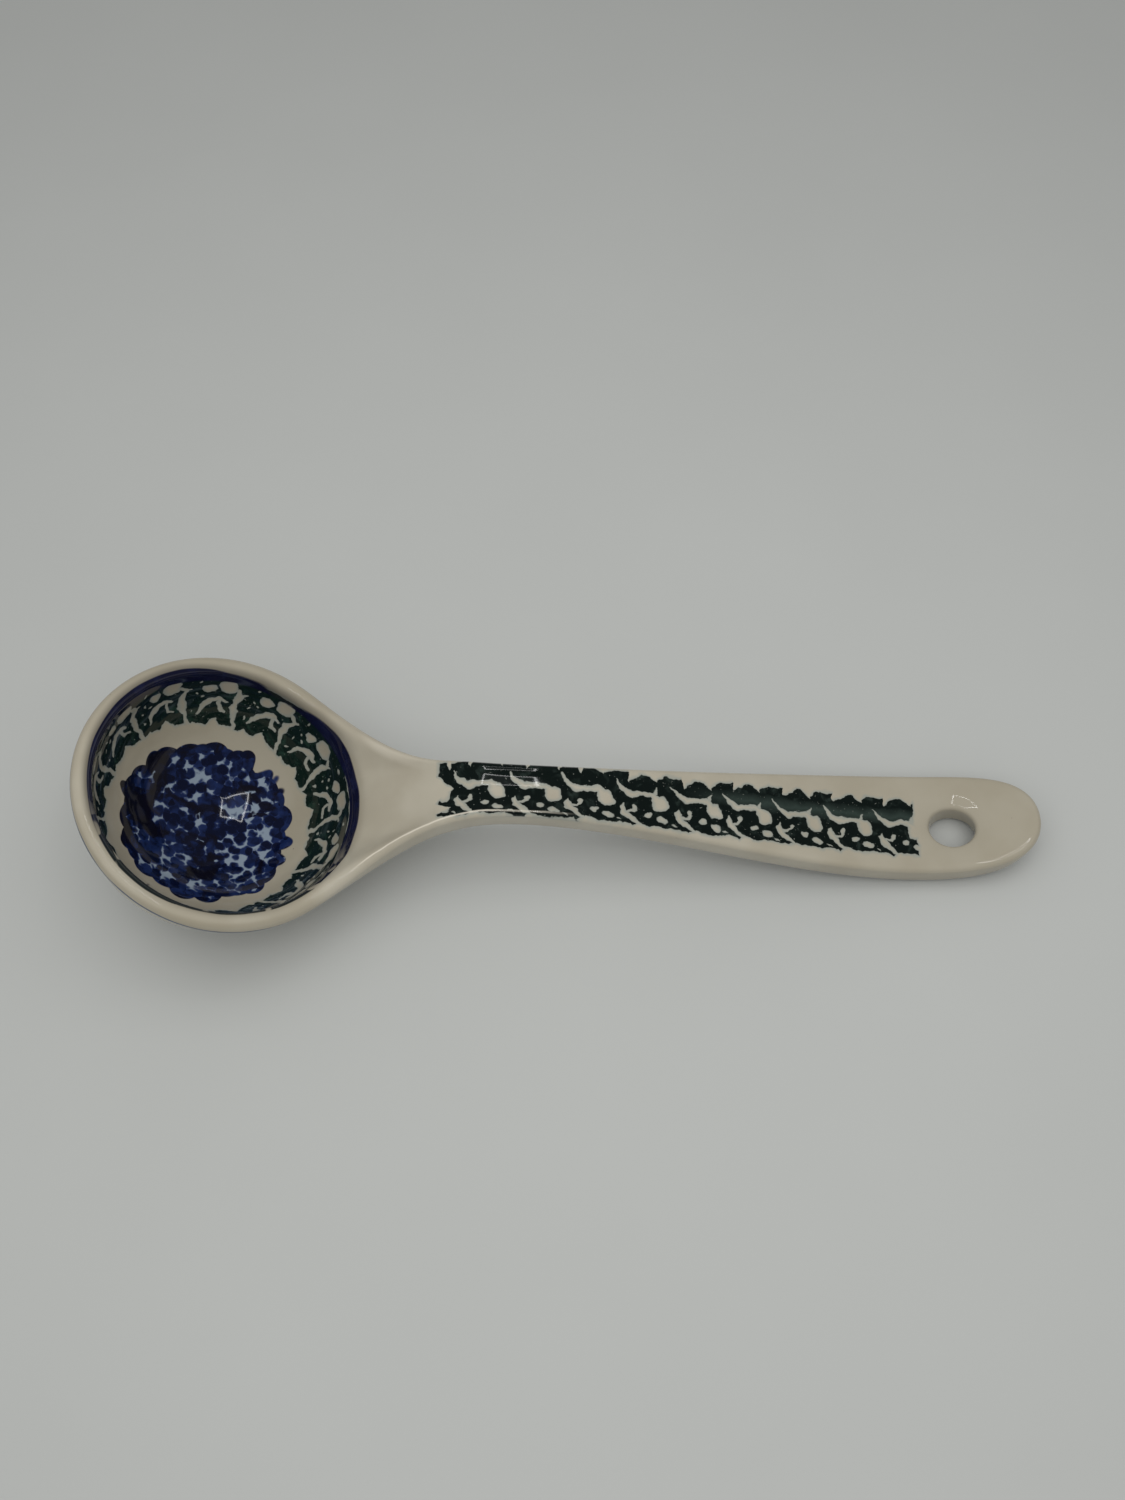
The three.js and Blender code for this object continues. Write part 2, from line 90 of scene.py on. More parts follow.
def bezier(points: Sequence[Vector], share: float) -> Vector:
    """Finds a point on a Bezier curve of any order.

    Args:
        points: Control points, of two or three coordinates.
        share: How far along the curve, from 0 to 1.

    Returns:
        The point on the curve.
    """
    row = list(points)
    while len(row) > 1:
        row = [first.lerp(second, share) for first, second in zip(row, row[1:])]
    return row[0]


def height_at(curves: Sequence[Sequence[Vector]], along: float) -> float:
    """Reads a curve that never turns back as a function of its first coordinate.

    Args:
        curves: Bezier curves end to end.
        along: First coordinate to read at.

    Returns:
        The second coordinate there.
    """
    curve = next((item for item in curves if along <= item[-1].x), curves[-1])
    low, high = 0.0, 1.0
    for _ in range(HALVINGS):
        middle = (low + high) / 2
        if bezier(curve, middle).x < along:
            low = middle
        else:
            high = middle
    return bezier(curve, (low + high) / 2).y


def arc_pull(angle: float) -> float:
    """Returns the handle length of a Bezier arc of this angle and radius one."""
    return 4 / 3 * math.tan(angle / 4)


@dataclass
class RoundedEdge:
    """An edge of clay with a tight round above and a long one below, in millimetres."""

    centre: Vector
    out: Vector
    up: Vector
    half: float
    radius: float
    turn: float = math.pi / 2

    def points(self) -> list[Vector]:
        """Finds the points round the edge.

        Returns:
            The points, from its top to where it turns under.
        """
        made = []
        below = 2 / (3 - self.radius / self.half)
        for share in steps(EDGE_STEPS):
            angle = lerp(math.pi / 2, -self.turn, share)
            reach, power = (self.radius, 1.0) if angle > 0 else (self.radius - 2 * self.half, below)
            across = self.radius * max(0.0, math.cos(angle)) ** power
            rise = self.half - self.radius + reach * abs(math.sin(angle)) ** power
            made.append(self.centre + self.out * across + self.up * rise)
        return made


@dataclass
class Spoke:
    """One line of points over the rim, at an angle round the opening."""

    angle: float
    edge: list[Vector]
    up: Vector
    turn: float = math.pi / 2
    ridge: float = 0.0


@dataclass
class LadleForm:
    """Sizes of the clay in millimetres, and the curves that follow from them."""

    rim_radius: float = 31.6
    rim_roll: float = 2.25
    bowl_depth: float = 26.6
    bowl_floor: float = 4.8
    bowl_wall: float = 3.4
    bowl_tilt: float = math.radians(27.4)
    bowl_height: float = 30.9907
    foot_reach: float = 1.1165
    joint_reach: float = 19.45
    joint_rise: float = 8.55
    joint_half_width: float = 8.7
    slip_thickness: float = 0.8
    neck_rise: float = 6.5
    neck_length: float = 18.5
    crest_lead: float = 10.5
    crest_rise: float = 2.0
    crest_pull: float = 29.3
    waist_half_width: float = 6.6
    waist_lead: float = 9.0
    waist_pull: float = 33.0
    handle_reach: float = 126.0
    rest_lead: float = 5.7
    rest_pull: float = 34.0
    widest_lead: float = 9.1
    widest_half_width: float = 13.0
    tip_reach: float = 20.2
    tip_pull_along: float = 14.0
    tip_pull_across: float = 12.7
    tip_curl: float = 4.5
    half_thickness: float = 4.0
    edge_radius: float = 1.5
    crown: float = 0.35
    neck_dish: float = 1.5
    dish_start: float = 70.0
    dish_end: float = 112.0

    def __post_init__(self) -> None:
        """Works out the directions of the bowl and the curves of the handle."""
        self.axis = Vector((math.sin(self.bowl_tilt), 0.0, math.cos(self.bowl_tilt)))
        self.forward = Vector((math.cos(self.bowl_tilt), 0.0, -math.sin(self.bowl_tilt)))
        self.centre = Vector((-self.foot_reach, 0.0, self.bowl_height))
        self.wall_radius = self.rim_radius - self.rim_roll
        self.flank_radius = self.wall_radius + self.bowl_wall
        self.flank_depth = self.bowl_depth + self.bowl_floor
        joint = self.bowl_point(self.rim_radius, 0.0, 0.0)
        self.joint = Vector((joint.x + self.joint_reach, 0.0, joint.z + self.joint_rise))
        self.neck_up = Vector((self.neck_rise, 0.0, self.crest_rise)).normalized().cross(SIDE)
        self.hole_x = self.joint.x + self.handle_reach
        self.spine = self._spine()
        self.plan = self._plan()
        widest = self.plan[-1][-1]
        tip_x = self.hole_x + self.tip_reach
        self.tip = [widest, Vector((widest.x + self.tip_pull_along, widest.y)),
                    Vector((tip_x, self.tip_pull_across)), Vector((tip_x, 0.0))]

    def _spine(self) -> list[list[Vector]]:
        """Works out the middle of the handle, seen from the side.

        Returns:
            Bezier curves of place along and height, from the joint to the tip.
        """
        joint = Vector((self.joint.x, self.joint.z))
        crest = joint + Vector((self.crest_lead, self.crest_rise))
        rest = Vector((self.hole_x - self.rest_lead, self.half_thickness))
        tip = Vector((self.hole_x + self.tip_reach, self.half_thickness + self.tip_curl))
        return [
            [joint, Vector((joint.x + self.neck_rise, crest.y)), crest],
            [crest, crest + Vector((self.crest_pull, 0.0)), rest - Vector((self.rest_pull, 0.0)), rest],
            [rest, Vector(((rest.x + tip.x) / 2, rest.y)), tip],
        ]

    def _plan(self) -> list[list[Vector]]:
        """Works out the handle's half width, seen from above.

        Returns:
            Bezier curves of place along and half width, from the joint to the widest place.
        """
        start = Vector((self.joint.x, self.joint_half_width))
        waist = Vector((self.joint.x + self.neck_length, self.waist_half_width))
        widest = Vector((self.hole_x - self.widest_lead, self.widest_half_width))
        pull = Vector((self.waist_pull, 0.0))
        return [
            [start, Vector((waist.x - self.waist_lead, waist.y)), waist],
            [waist, waist + pull, widest - pull, widest],
        ]

    def outward(self, angle: float) -> Vector:
        """Returns the direction away from the bowl's axis at an angle round it."""
        return self.forward * math.cos(angle) + SIDE * math.sin(angle)

    def bowl_point(self, radius: float, angle: float, height: float) -> Vector:
        """Returns a point by its radius, angle and height on the bowl's axis."""
        return self.centre + self.outward(angle) * radius + self.axis * height

    def wall_point(self, angle: float, fall: float) -> Vector:
        """Returns a point on the inner wall, a fall angle below the rim."""
        drop = self.bowl_depth * math.sin(fall)
        return self.bowl_point(self.wall_radius * math.cos(fall), angle, -drop)

    def flank_point(self, angle: float, fall: float) -> Vector:
        """Returns a point on the outer wall, a fall angle below the rim."""
        drop = self.flank_depth * math.sin(fall)
        return self.bowl_point(self.flank_radius * math.cos(fall), angle, -drop)

    def spine_at(self, along: float) -> float:
        """Returns the height of the middle of the handle."""
        return height_at(self.spine, along)

    def half_width_at(self, along: float) -> float:
        """Returns the half width of the handle before its rounded end."""
        return height_at(self.plan, along)

    def top_point(self, along: float, across: float, share: float) -> Vector:
        """Finds a point on the top of the handle, dished at the neck and crowned further on.

        Args:
            along: Place along the handle.
            across: Place across it.
            share: How far out the place is, 0 in the middle and 1 or -1 at the edges.

        Returns:
            The point.
        """
        fade = min(1.0, max(0.0, (along - self.dish_start) / (self.dish_end - self.dish_start)))
        inside = max(0.0, 1 - share * share)
        rise = lerp(-self.neck_dish * inside, self.crown * inside ** 2, ease(fade))
        return Vector((along, across, self.spine_at(along) + self.half_thickness + rise))

    def end_top_point(self, along: float, across: float) -> Vector:
        """Returns a point on the top of the handle's rounded end."""
        reach = self.half_width_at(min(along, self.tip[0].x)) - self.edge_radius
        return self.top_point(along, across, across / reach)

    def under_point(self, along: float, across: float) -> Vector:
        """Returns a point on the flat underside of the handle."""
        return Vector((along, across, self.spine_at(along) - self.half_thickness))


class EdgeLoopModel:
    """A mesh modelled in edit mode: a ring of points, extruded ring after ring."""

    def __init__(self, name: str, ring: Sequence[Vector]) -> None:
        """Adds a circle and moves its points to the first ring.

        Args:
            name: Name of the object.
            ring: Points of the first ring, in millimetres.
        """
        if bpy.context.mode != "OBJECT":
            bpy.ops.object.mode_set(mode="OBJECT")
        bpy.ops.object.select_all(action="DESELECT")
        bpy.ops.mesh.primitive_circle_add(vertices=len(ring), radius=1.0, fill_type="NOTHING")
        self.object = bpy.context.object
        self.object.name = name
        bpy.ops.object.mode_set(mode="EDIT")
        cage = self._cage()
        for vertex, point in zip(cage.verts, ring):
            vertex.co = point * MM
        self.last = [tuple(vertex.co) for vertex in cage.verts]
        self.first = list(self.last)
        self._update()

    def _cage(self) -> bmesh.types.BMesh:
        """Returns the mesh that is being edited."""
        return bmesh.from_edit_mesh(self.object.data)

    def _update(self) -> None:
        """Passes the changes on to the mesh."""
        bmesh.update_edit_mesh(self.object.data)

    def extrude_to(self, ring: Sequence[Vector]) -> None:
        """Extrudes the selected ring and moves the new points.

        Args:
            ring: Points of the new ring, in millimetres, in the order of the last one.
        """
        bpy.ops.mesh.extrude_region()
        order = {place: index for index, place in enumerate(self.last)}
        placed = [()] * len(ring)
        for vertex in self._cage().verts:
            if vertex.select:
                index = order[tuple(vertex.co)]
                vertex.co = ring[index] * MM
                placed[index] = tuple(vertex.co)
        self.last = placed
        self._update()

    def close(self, ring: Sequence[tuple], settle: Callable[[Vector], Vector]) -> None:
        """Fills a ring with a grid of faces that lies on a surface.

        Args:
            ring: Places of the ring's points, in metres.
            settle: Moves a point in millimetres on to the surface.
        """
        cage = self._cage()
        places = set(ring)
        bpy.ops.mesh.select_all(action="DESELECT")
        for vertex in cage.verts:
            vertex.select = tuple(vertex.co) in places
        cage.select_flush(True)
        before = len(cage.verts)
        self._update()
        bpy.ops.mesh.fill_grid(span=len(ring) // 4)
        cage = self._cage()
        cage.verts.ensure_lookup_table()
        for vertex in cage.verts[before:]:
            vertex.co = settle(vertex.co / MM) * MM
        self._update()

    def open_plane(self, along: float) -> None:
        """Deletes the faces that lie in a plane across the handle.

        Args:
            along: Place of the plane, in millimetres.
        """
        cage = self._cage()
        bpy.ops.mesh.select_all(action="DESELECT")
        bpy.ops.mesh.select_mode(type="FACE")
        for face in cage.faces:
            face.select = all(abs(vertex.co.x - along * MM) < PLANE_SLACK for vertex in face.verts)
        self._update()
        bpy.ops.mesh.delete(type="FACE")
        bpy.ops.mesh.select_mode(type="VERT")

    def finish(self) -> bpy.types.Object:
        """Leaves edit mode and returns the object."""
        bpy.ops.object.mode_set(mode="OBJECT")
        return self.object


@dataclass
class BowlShape:
    """The bowl with its rolled rim and the shoulder that narrows into the neck."""

    form: LadleForm
    flank_fall: float = math.radians(25)
    rim_undercut: float = math.radians(50)
    flare_start: float = math.radians(60)
    flare_rim_pull: float = 11.0
    flare_neck_pull: float = 12.0
    opening_angle: float = math.radians(16)
    ridge_rise: float = 0.3
    rim_spokes: int = 36
    flare_spokes: int = 9
    web_steps: int = 6
    flank_steps: int = 4
    wall_falls: Sequence[int] = (70, 60, 50, 40, 30, 20, 10)
    flank_falls: Sequence[int] = (34, 43, 52, 61, 70)

    def _joint_spoke(self, share: float) -> Spoke:
        """Makes a spoke that runs into the joint.

        Args:
            share: How far across the joint it is, from -1 to 1.

        Returns:
            The spoke.
        """
        form = self.form
        across = share * (form.joint_half_width - form.edge_radius)
        top = form.top_point(form.joint.x, across, share)
        edge = straight(top, form.under_point(form.joint.x, across))
        ridge = self.ridge_rise * share * share
        return Spoke(share * self.opening_angle, edge, form.neck_up, ridge=ridge)

    def _flare_spoke(self, side: int, share: float) -> Spoke:
        """Makes a spoke of the flare, where the rim runs out into the neck.

        Args:
            side: 1 on the far side and -1 on the near side.
            share: How far it is from the joint to the round rim, from 0 to 1.

        Returns:
            The spoke.
        """
        form = self.form
        neck = form.joint + SIDE * side * (form.joint_half_width - form.edge_radius)
        narrowing = (form.waist_half_width - form.joint_half_width) / (form.neck_length - form.waist_lead)
        lean = Vector((1.0, side * narrowing, form.crest_rise / form.neck_rise)).normalized()
        rim = form.bowl_point(form.rim_radius, side * self.flare_start, 0.0)
        leave = form.outward(side * (self.flare_start - math.pi / 2))
        curve = [neck, neck - lean * self.flare_neck_pull, rim + leave * self.flare_rim_pull, rim]
        centre = bezier(curve, share)
        rim_share = ease(share)
        out = (SIDE * side).lerp(form.outward(side * self.flare_start), rim_share).normalized()
        up = UP.lerp(form.axis, rim_share * rim_share).normalized()
        turn = lerp(math.pi / 2, self.rim_undercut, rim_share)
        edge = RoundedEdge(centre, out, up, lerp(form.half_thickness, form.rim_roll, rim_share),
                           lerp(form.edge_radius, form.rim_roll, rim_share), turn)
        web_up = form.neck_up.lerp(form.axis, rim_share).normalized()
        angle = side * lerp(self.opening_angle, self.flare_start, share)
        return Spoke(angle, edge.points(), web_up, turn, self.ridge_rise * (1 - rim_share))

    def _rim_spoke(self, angle: float) -> Spoke:
        """Makes a spoke of the round rim.

        Args:
            angle: Where it is round the bowl's axis.

        Returns:
            The spoke.
        """
        form = self.form
        out = form.outward(angle)
        edge = RoundedEdge(form.bowl_point(form.rim_radius, angle, 0.0), out, form.axis,
                           form.rim_roll, form.rim_roll, self.rim_undercut)
        return Spoke(angle, edge.points(), form.axis, self.rim_undercut)

    def _spokes(self) -> list[Spoke]:
        """Makes all the spokes.

        Returns:
            The spokes in order round the opening, from the middle of the joint.
        """
        flare = [index / self.flare_spokes for index in range(self.flare_spokes)]
        sweep = 2 * math.pi - 2 * self.flare_start
        spokes = [self._joint_spoke(share) for share in (0.0, *THIRDS)]
        spokes += [self._flare_spoke(1, share) for share in flare]
        spokes += [self._rim_spoke(self.flare_start + sweep * share) for share in steps(self.rim_spokes)]
        spokes += [self._flare_spoke(-1, share) for share in reversed(flare)]
        return spokes + [self._joint_spoke(-share) for share in reversed(THIRDS)]

    def _line(self, spoke: Spoke) -> list[Vector]:
        """Finds the points of one spoke.

        Args:
            spoke: The spoke.

        Returns:
            The points, from near the inner pole over the rim to near the outer pole.
        """
        form = self.form
        top, low = spoke.edge[0], spoke.edge[-1]
        line = [form.wall_point(spoke.angle, math.radians(fall)) for fall in self.wall_falls]
        opening = form.wall_point(spoke.angle, 0.0)
        reach = QUARTER_PULL * (top - opening).length / math.sqrt(2)
        over = (square_to(top - opening, spoke.up) + spoke.up * spoke.ridge).normalized()
        web = [opening, opening + form.axis * QUARTER_PULL * form.rim_roll, top - over * reach, top]
        line += [bezier(web, share) for share in steps(self.web_steps)[:-1]]
        line += spoke.edge
        end = form.flank_point(spoke.angle, self.flank_fall)
        plain = form.bowl_point(form.flank_radius, spoke.angle, 0.0)
        pull = arc_pull(self.flank_fall) * (low - end).length / (plain - end).length
        fall = form.outward(spoke.angle) * (-form.flank_radius * math.sin(self.flank_fall))
        fall -= form.axis * form.flank_depth * math.cos(self.flank_fall)
        out = square_to(low - end, spoke.up)
        under = -(out * math.sin(spoke.turn) + spoke.up * math.cos(spoke.turn))
        flank = [low, low + under * pull * form.flank_depth, end - fall * pull, end]
        line += [bezier(flank, share) for share in steps(self.flank_steps)[1:]]
        return line + [form.flank_point(spoke.angle, math.radians(fall)) for fall in self.flank_falls]

    def _settle(self, radius: float, depth: float) -> Callable[[Vector], Vector]:
        """Makes a function that moves points on to one of the bowl's rounds, along its axis.

        Args:
            radius: Radius of the round at the rim.
            depth: Depth of the round at its pole.

        Returns:
            The function.
        """
        form = self.form

        def settled(point: Vector) -> Vector:
            """Moves a point on to the round.

            Args:
                point: The point, in millimetres.

            Returns:
                The point on the round at the same place seen along the axis.
            """
            offset = point - form.centre
            forward, side = offset.dot(form.forward), offset.y
            drop = depth * math.sqrt(max(0.0, 1 - (forward * forward + side * side) / radius ** 2))
            return form.centre + form.forward * forward + SIDE * side - form.axis * drop

        return settled

    def model(self) -> bpy.types.Object:
        """Models the cage of the bowl.

        Returns:
            The cage, open where the handle joins it.
        """
        rings = list(zip(*(self._line(spoke) for spoke in self._spokes())))
        cage = EdgeLoopModel("bowl_cage", rings[0])
        for ring in rings[1:]:
            cage.extrude_to(ring)
        cage.close(cage.last, self._settle(self.form.flank_radius, self.form.flank_depth))
        cage.close(cage.first, self._settle(self.form.wall_radius, self.form.bowl_depth))
        cage.open_plane(self.form.joint.x)
        return cage.finish()


@dataclass
class HandleShape:
    """The arched bar of the handle, and its rounded end with the hanging hole."""

    form: LadleForm
    shares: Sequence[float] = (-1.0, -2 / 3, -1 / 3, 0.0, *THIRDS, 1.0)
    first_stations: Sequence[float] = (0.0, 0.8, 2.3, 4.4, 7.2, 10.6, 14.6)
    shaft_steps: int = 19
    end_lead: float = 16.0
    outline_half: int = 11
    side_samples: int = 20
    tip_samples: int = 80
    hole_radius: float = 5.6
    hole_squeeze: float = 0.87
    hole_lean: float = 0.2
    off_centre: tuple = (-0.8, -1.0)
    mouth_spread: float = 6.5
    mouth_depth: float = 1.35
    mouth_radius: float = 0.9
    mouth_turns: Sequence[float] = (0.0, math.pi / 6, math.pi / 3, math.pi / 2)
    dish_parts: Sequence[float] = (0.35, 0.6, 0.85)
    wall_share: float = 0.75
    back_radius: float = 1.3
    back_turns: Sequence[float] = (0.0, math.pi / 4, math.pi / 2)

    def __post_init__(self) -> None:
        """Works out where the straight run ends and the rounded end begins."""
        self.end_x = self.form.hole_x - self.end_lead

    def _edge(self, along: float, across: float, out: Vector) -> list[Vector]:
        """Finds the points round the handle's edge at an outline point.

        Args:
            along: Place of the outline point along the handle.
            across: Its place across.
            out: Direction outward there.

        Returns:
            The points, from the top to the underside.
        """
        form = self.form
        middle = Vector((along, across, 0.0)) - out * form.edge_radius
        middle.z = form.spine_at(middle.x)
        return RoundedEdge(middle, out, UP, form.half_thickness, form.edge_radius).points()

    def _station(self, along: float) -> list[Vector]:
        """Finds the ring of points round the handle at one place.

        Args:
            along: The place along the handle.

        Returns:
            The points, over the top to the far side and back underneath.
        """
        form = self.form
        width = form.half_width_at(along)
        across = width - form.edge_radius
        ring = [form.top_point(along, share * across, share) for share in self.shares]
        ring += self._edge(along, width, SIDE)[1:-1]
        ring += [form.under_point(along, -share * across) for share in self.shares]
        ring += self._edge(along, -width, -SIDE)[-2:0:-1]
        return ring

    def _stations(self) -> list[float]:
        """Chooses the places of the rings along the handle.

        Returns:
            The places, close together near the joint.
        """
        start = self.form.joint.x
        near = [start + lead for lead in self.first_stations]
        return near + [lerp(near[-1], self.end_x, share) for share in steps(self.shaft_steps)[1:]]

    def _outline(self) -> list[tuple[Vector, Vector]]:
        """Finds evenly spaced points of the rounded end's outline.

        Returns:
            Each point with its outward direction, from the far side round the tip to the near side.
        """
        form = self.form
        reach = form.tip[0].x - self.end_x
        path = [Vector((self.end_x + reach * share, form.half_width_at(self.end_x + reach * share)))
                for share in steps(self.side_samples)]
        path += [bezier(form.tip, share) for share in steps(self.tip_samples)[1:]]
        lengths = [0.0]
        for first, second in zip(path, path[1:]):
            lengths.append(lengths[-1] + (second - first).length)
        half = []
        for share in steps(self.outline_half):
            wanted = share * lengths[-1]
            index = max(1, next(place for place, length in enumerate(lengths) if length >= wanted - TINY))
            part = (wanted - lengths[index - 1]) / (lengths[index] - lengths[index - 1])
            point = path[index - 1].lerp(path[index], part)
            heading = (path[min(index + 1, len(path) - 1)] - path[index - 1]).normalized()
            half.append((Vector((point.x, point.y, 0.0)), Vector((-heading.y, heading.x, 0.0))))
        half[0] = (half[0][0], SIDE.copy())
        half[-1] = (half[-1][0], Vector((1.0, 0.0, 0.0)))
        near = [(Vector((point.x, -point.y, 0.0)), Vector((out.x, -out.y, 0.0)))
                for point, out in half[:-1]]
        return half + near[::-1]

    def _end_line(self, angle: float, edge: list[Vector]) -> list[Vector]:
        """Finds the points of one spoke of the end.

        Args:
            angle: Direction of the spoke from the middle of the hole.
            edge: Points where the spoke turns from the top to the underside.

        Returns:
            The points, from inside the hole over the edge and back to the hole.
        """
        form = self.form

        def ring(radius: float, depth: float) -> tuple[float, float]:
            """Returns a place on the squeezed round of the leaning hole."""
            along = form.hole_x + self.off_centre[0] + radius * math.cos(angle) + self.hole_lean * depth
            return along, self.off_centre[1] + radius * self.hole_squeeze * math.sin(angle)

        def top(radius: float, drop: float) -> Vector:
            """Returns a point below the dished top face, near the hole."""
            dish = max(0.0, 1 - (radius - self.hole_radius) / self.mouth_spread) ** 2 * self.mouth_depth
            return form.end_top_point(*ring(radius, drop)) - UP * (drop + dish)

        def under(radius: float, rise: float) -> Vector:
            """Returns a point above the underside, near the hole."""
            place = ring(radius, 2 * form.half_thickness - rise)
            return form.under_point(*place) + UP * rise

        line = [under(self.hole_radius, form.half_thickness * self.wall_share)]
        for turn in self.mouth_turns:
            radius = self.hole_radius + self.mouth_radius * (1 - math.cos(turn))
            line.append(top(radius, self.mouth_radius * (1 - math.sin(turn))))
        line += [top(self.hole_radius + self.mouth_spread * part, 0.0) for part in self.dish_parts]
        rim = line[-1]
        line += [form.end_top_point(*rim.lerp(edge[0], part).xy) for part in THIRDS]
        line += edge
        back = under(self.hole_radius + self.back_radius, 0.0)
        line += [edge[-1].lerp(back, part) for part in THIRDS]
        for turn in self.back_turns:
            radius = self.hole_radius + self.back_radius * (1 - math.sin(turn))
            line.append(under(radius, self.back_radius * (1 - math.cos(turn))))
        return line

    def _end_rings(self) -> list[tuple[Vector, ...]]:
        """Finds the rings of points of the rounded end.

        Returns:
            The rings, from inside the hole over the edge and back to the hole.
        """
        form = self.form
        across = form.half_width_at(self.end_x) - form.edge_radius
        shaft = []
        for share in self.shares[1:-1]:
            top = form.top_point(self.end_x, share * across, share)
            shaft.append(straight(top, form.under_point(self.end_x, share * across)))
        middle = len(shaft) // 2
        rounded = [self._edge(point.x, point.y, out) for point, out in self._outline()]
        edges = shaft[middle:] + rounded + shaft[:middle]
        turn = 2 * math.pi / len(edges)
        lines = [self._end_line(math.pi - index * turn, edge) for index, edge in enumerate(edges)]
        return list(zip(*lines))

    def model_shaft(self) -> bpy.types.Object:
        """Models the cage of the handle between the joint and its rounded end.

        Returns:
            The cage, open at both ends.
        """
        stations = self._stations()
        cage = EdgeLoopModel("shaft_cage", self._station(stations[0]))
        for along in stations[1:]:
            cage.extrude_to(self._station(along))
        return cage.finish()

    def model_end(self) -> bpy.types.Object:
        """Models the cage of the rounded end.

        Returns:
            The cage, open where the handle meets it.
        """
        rings = self._end_rings()
        cage = EdgeLoopModel("end_cage", rings[0])
        for ring in rings[1:] + rings[:1]:
            cage.extrude_to(ring)
        cage.open_plane(self.end_x)
        return cage.finish()


Scalar = Union[float, "Value"]


class Value:
    """One output of a shader node, for use in Python expressions."""

    def __init__(self, sheet: "NodeSheet", socket: bpy.types.NodeSocket) -> None:
        """Keeps the socket and the sheet of nodes that it is on."""
        self.sheet = sheet
        self.socket = socket

    def __add__(self, other: Scalar) -> "Value":
        """Sum."""
        return self.sheet.math("ADD", self, other)

    __radd__ = __add__

    def __sub__(self, other: Scalar) -> "Value":
        """Difference."""
        return self.sheet.math("SUBTRACT", self, other)

    def __rsub__(self, other: Scalar) -> "Value":
        """Difference from a number."""
        return self.sheet.math("SUBTRACT", other, self)

    def __mul__(self, other: Scalar) -> "Value":
        """Product."""
        return self.sheet.math("MULTIPLY", self, other)

    __rmul__ = __mul__

    def __truediv__(self, other: Scalar) -> "Value":
        """Quotient."""
        return self.sheet.math("DIVIDE", self, other)

    def __abs__(self) -> "Value":
        """Size without sign."""
        return self.sheet.math("ABSOLUTE", self)

    def floor(self) -> "Value":
        """Next whole number down."""
        return self.sheet.math("FLOOR", self)

    def root(self) -> "Value":
        """Square root."""
        return self.sheet.math("SQRT", self)

    def least(self, other: Scalar) -> "Value":
        """Smaller of two."""
        return self.sheet.math("MINIMUM", self, other)

    def most(self, other: Scalar) -> "Value":
        """Larger of two."""
        return self.sheet.math("MAXIMUM", self, other)


Input = Union[float, Sequence[float], Value]
Colour = tuple[float, float, float, float]
Span = tuple[float, float]


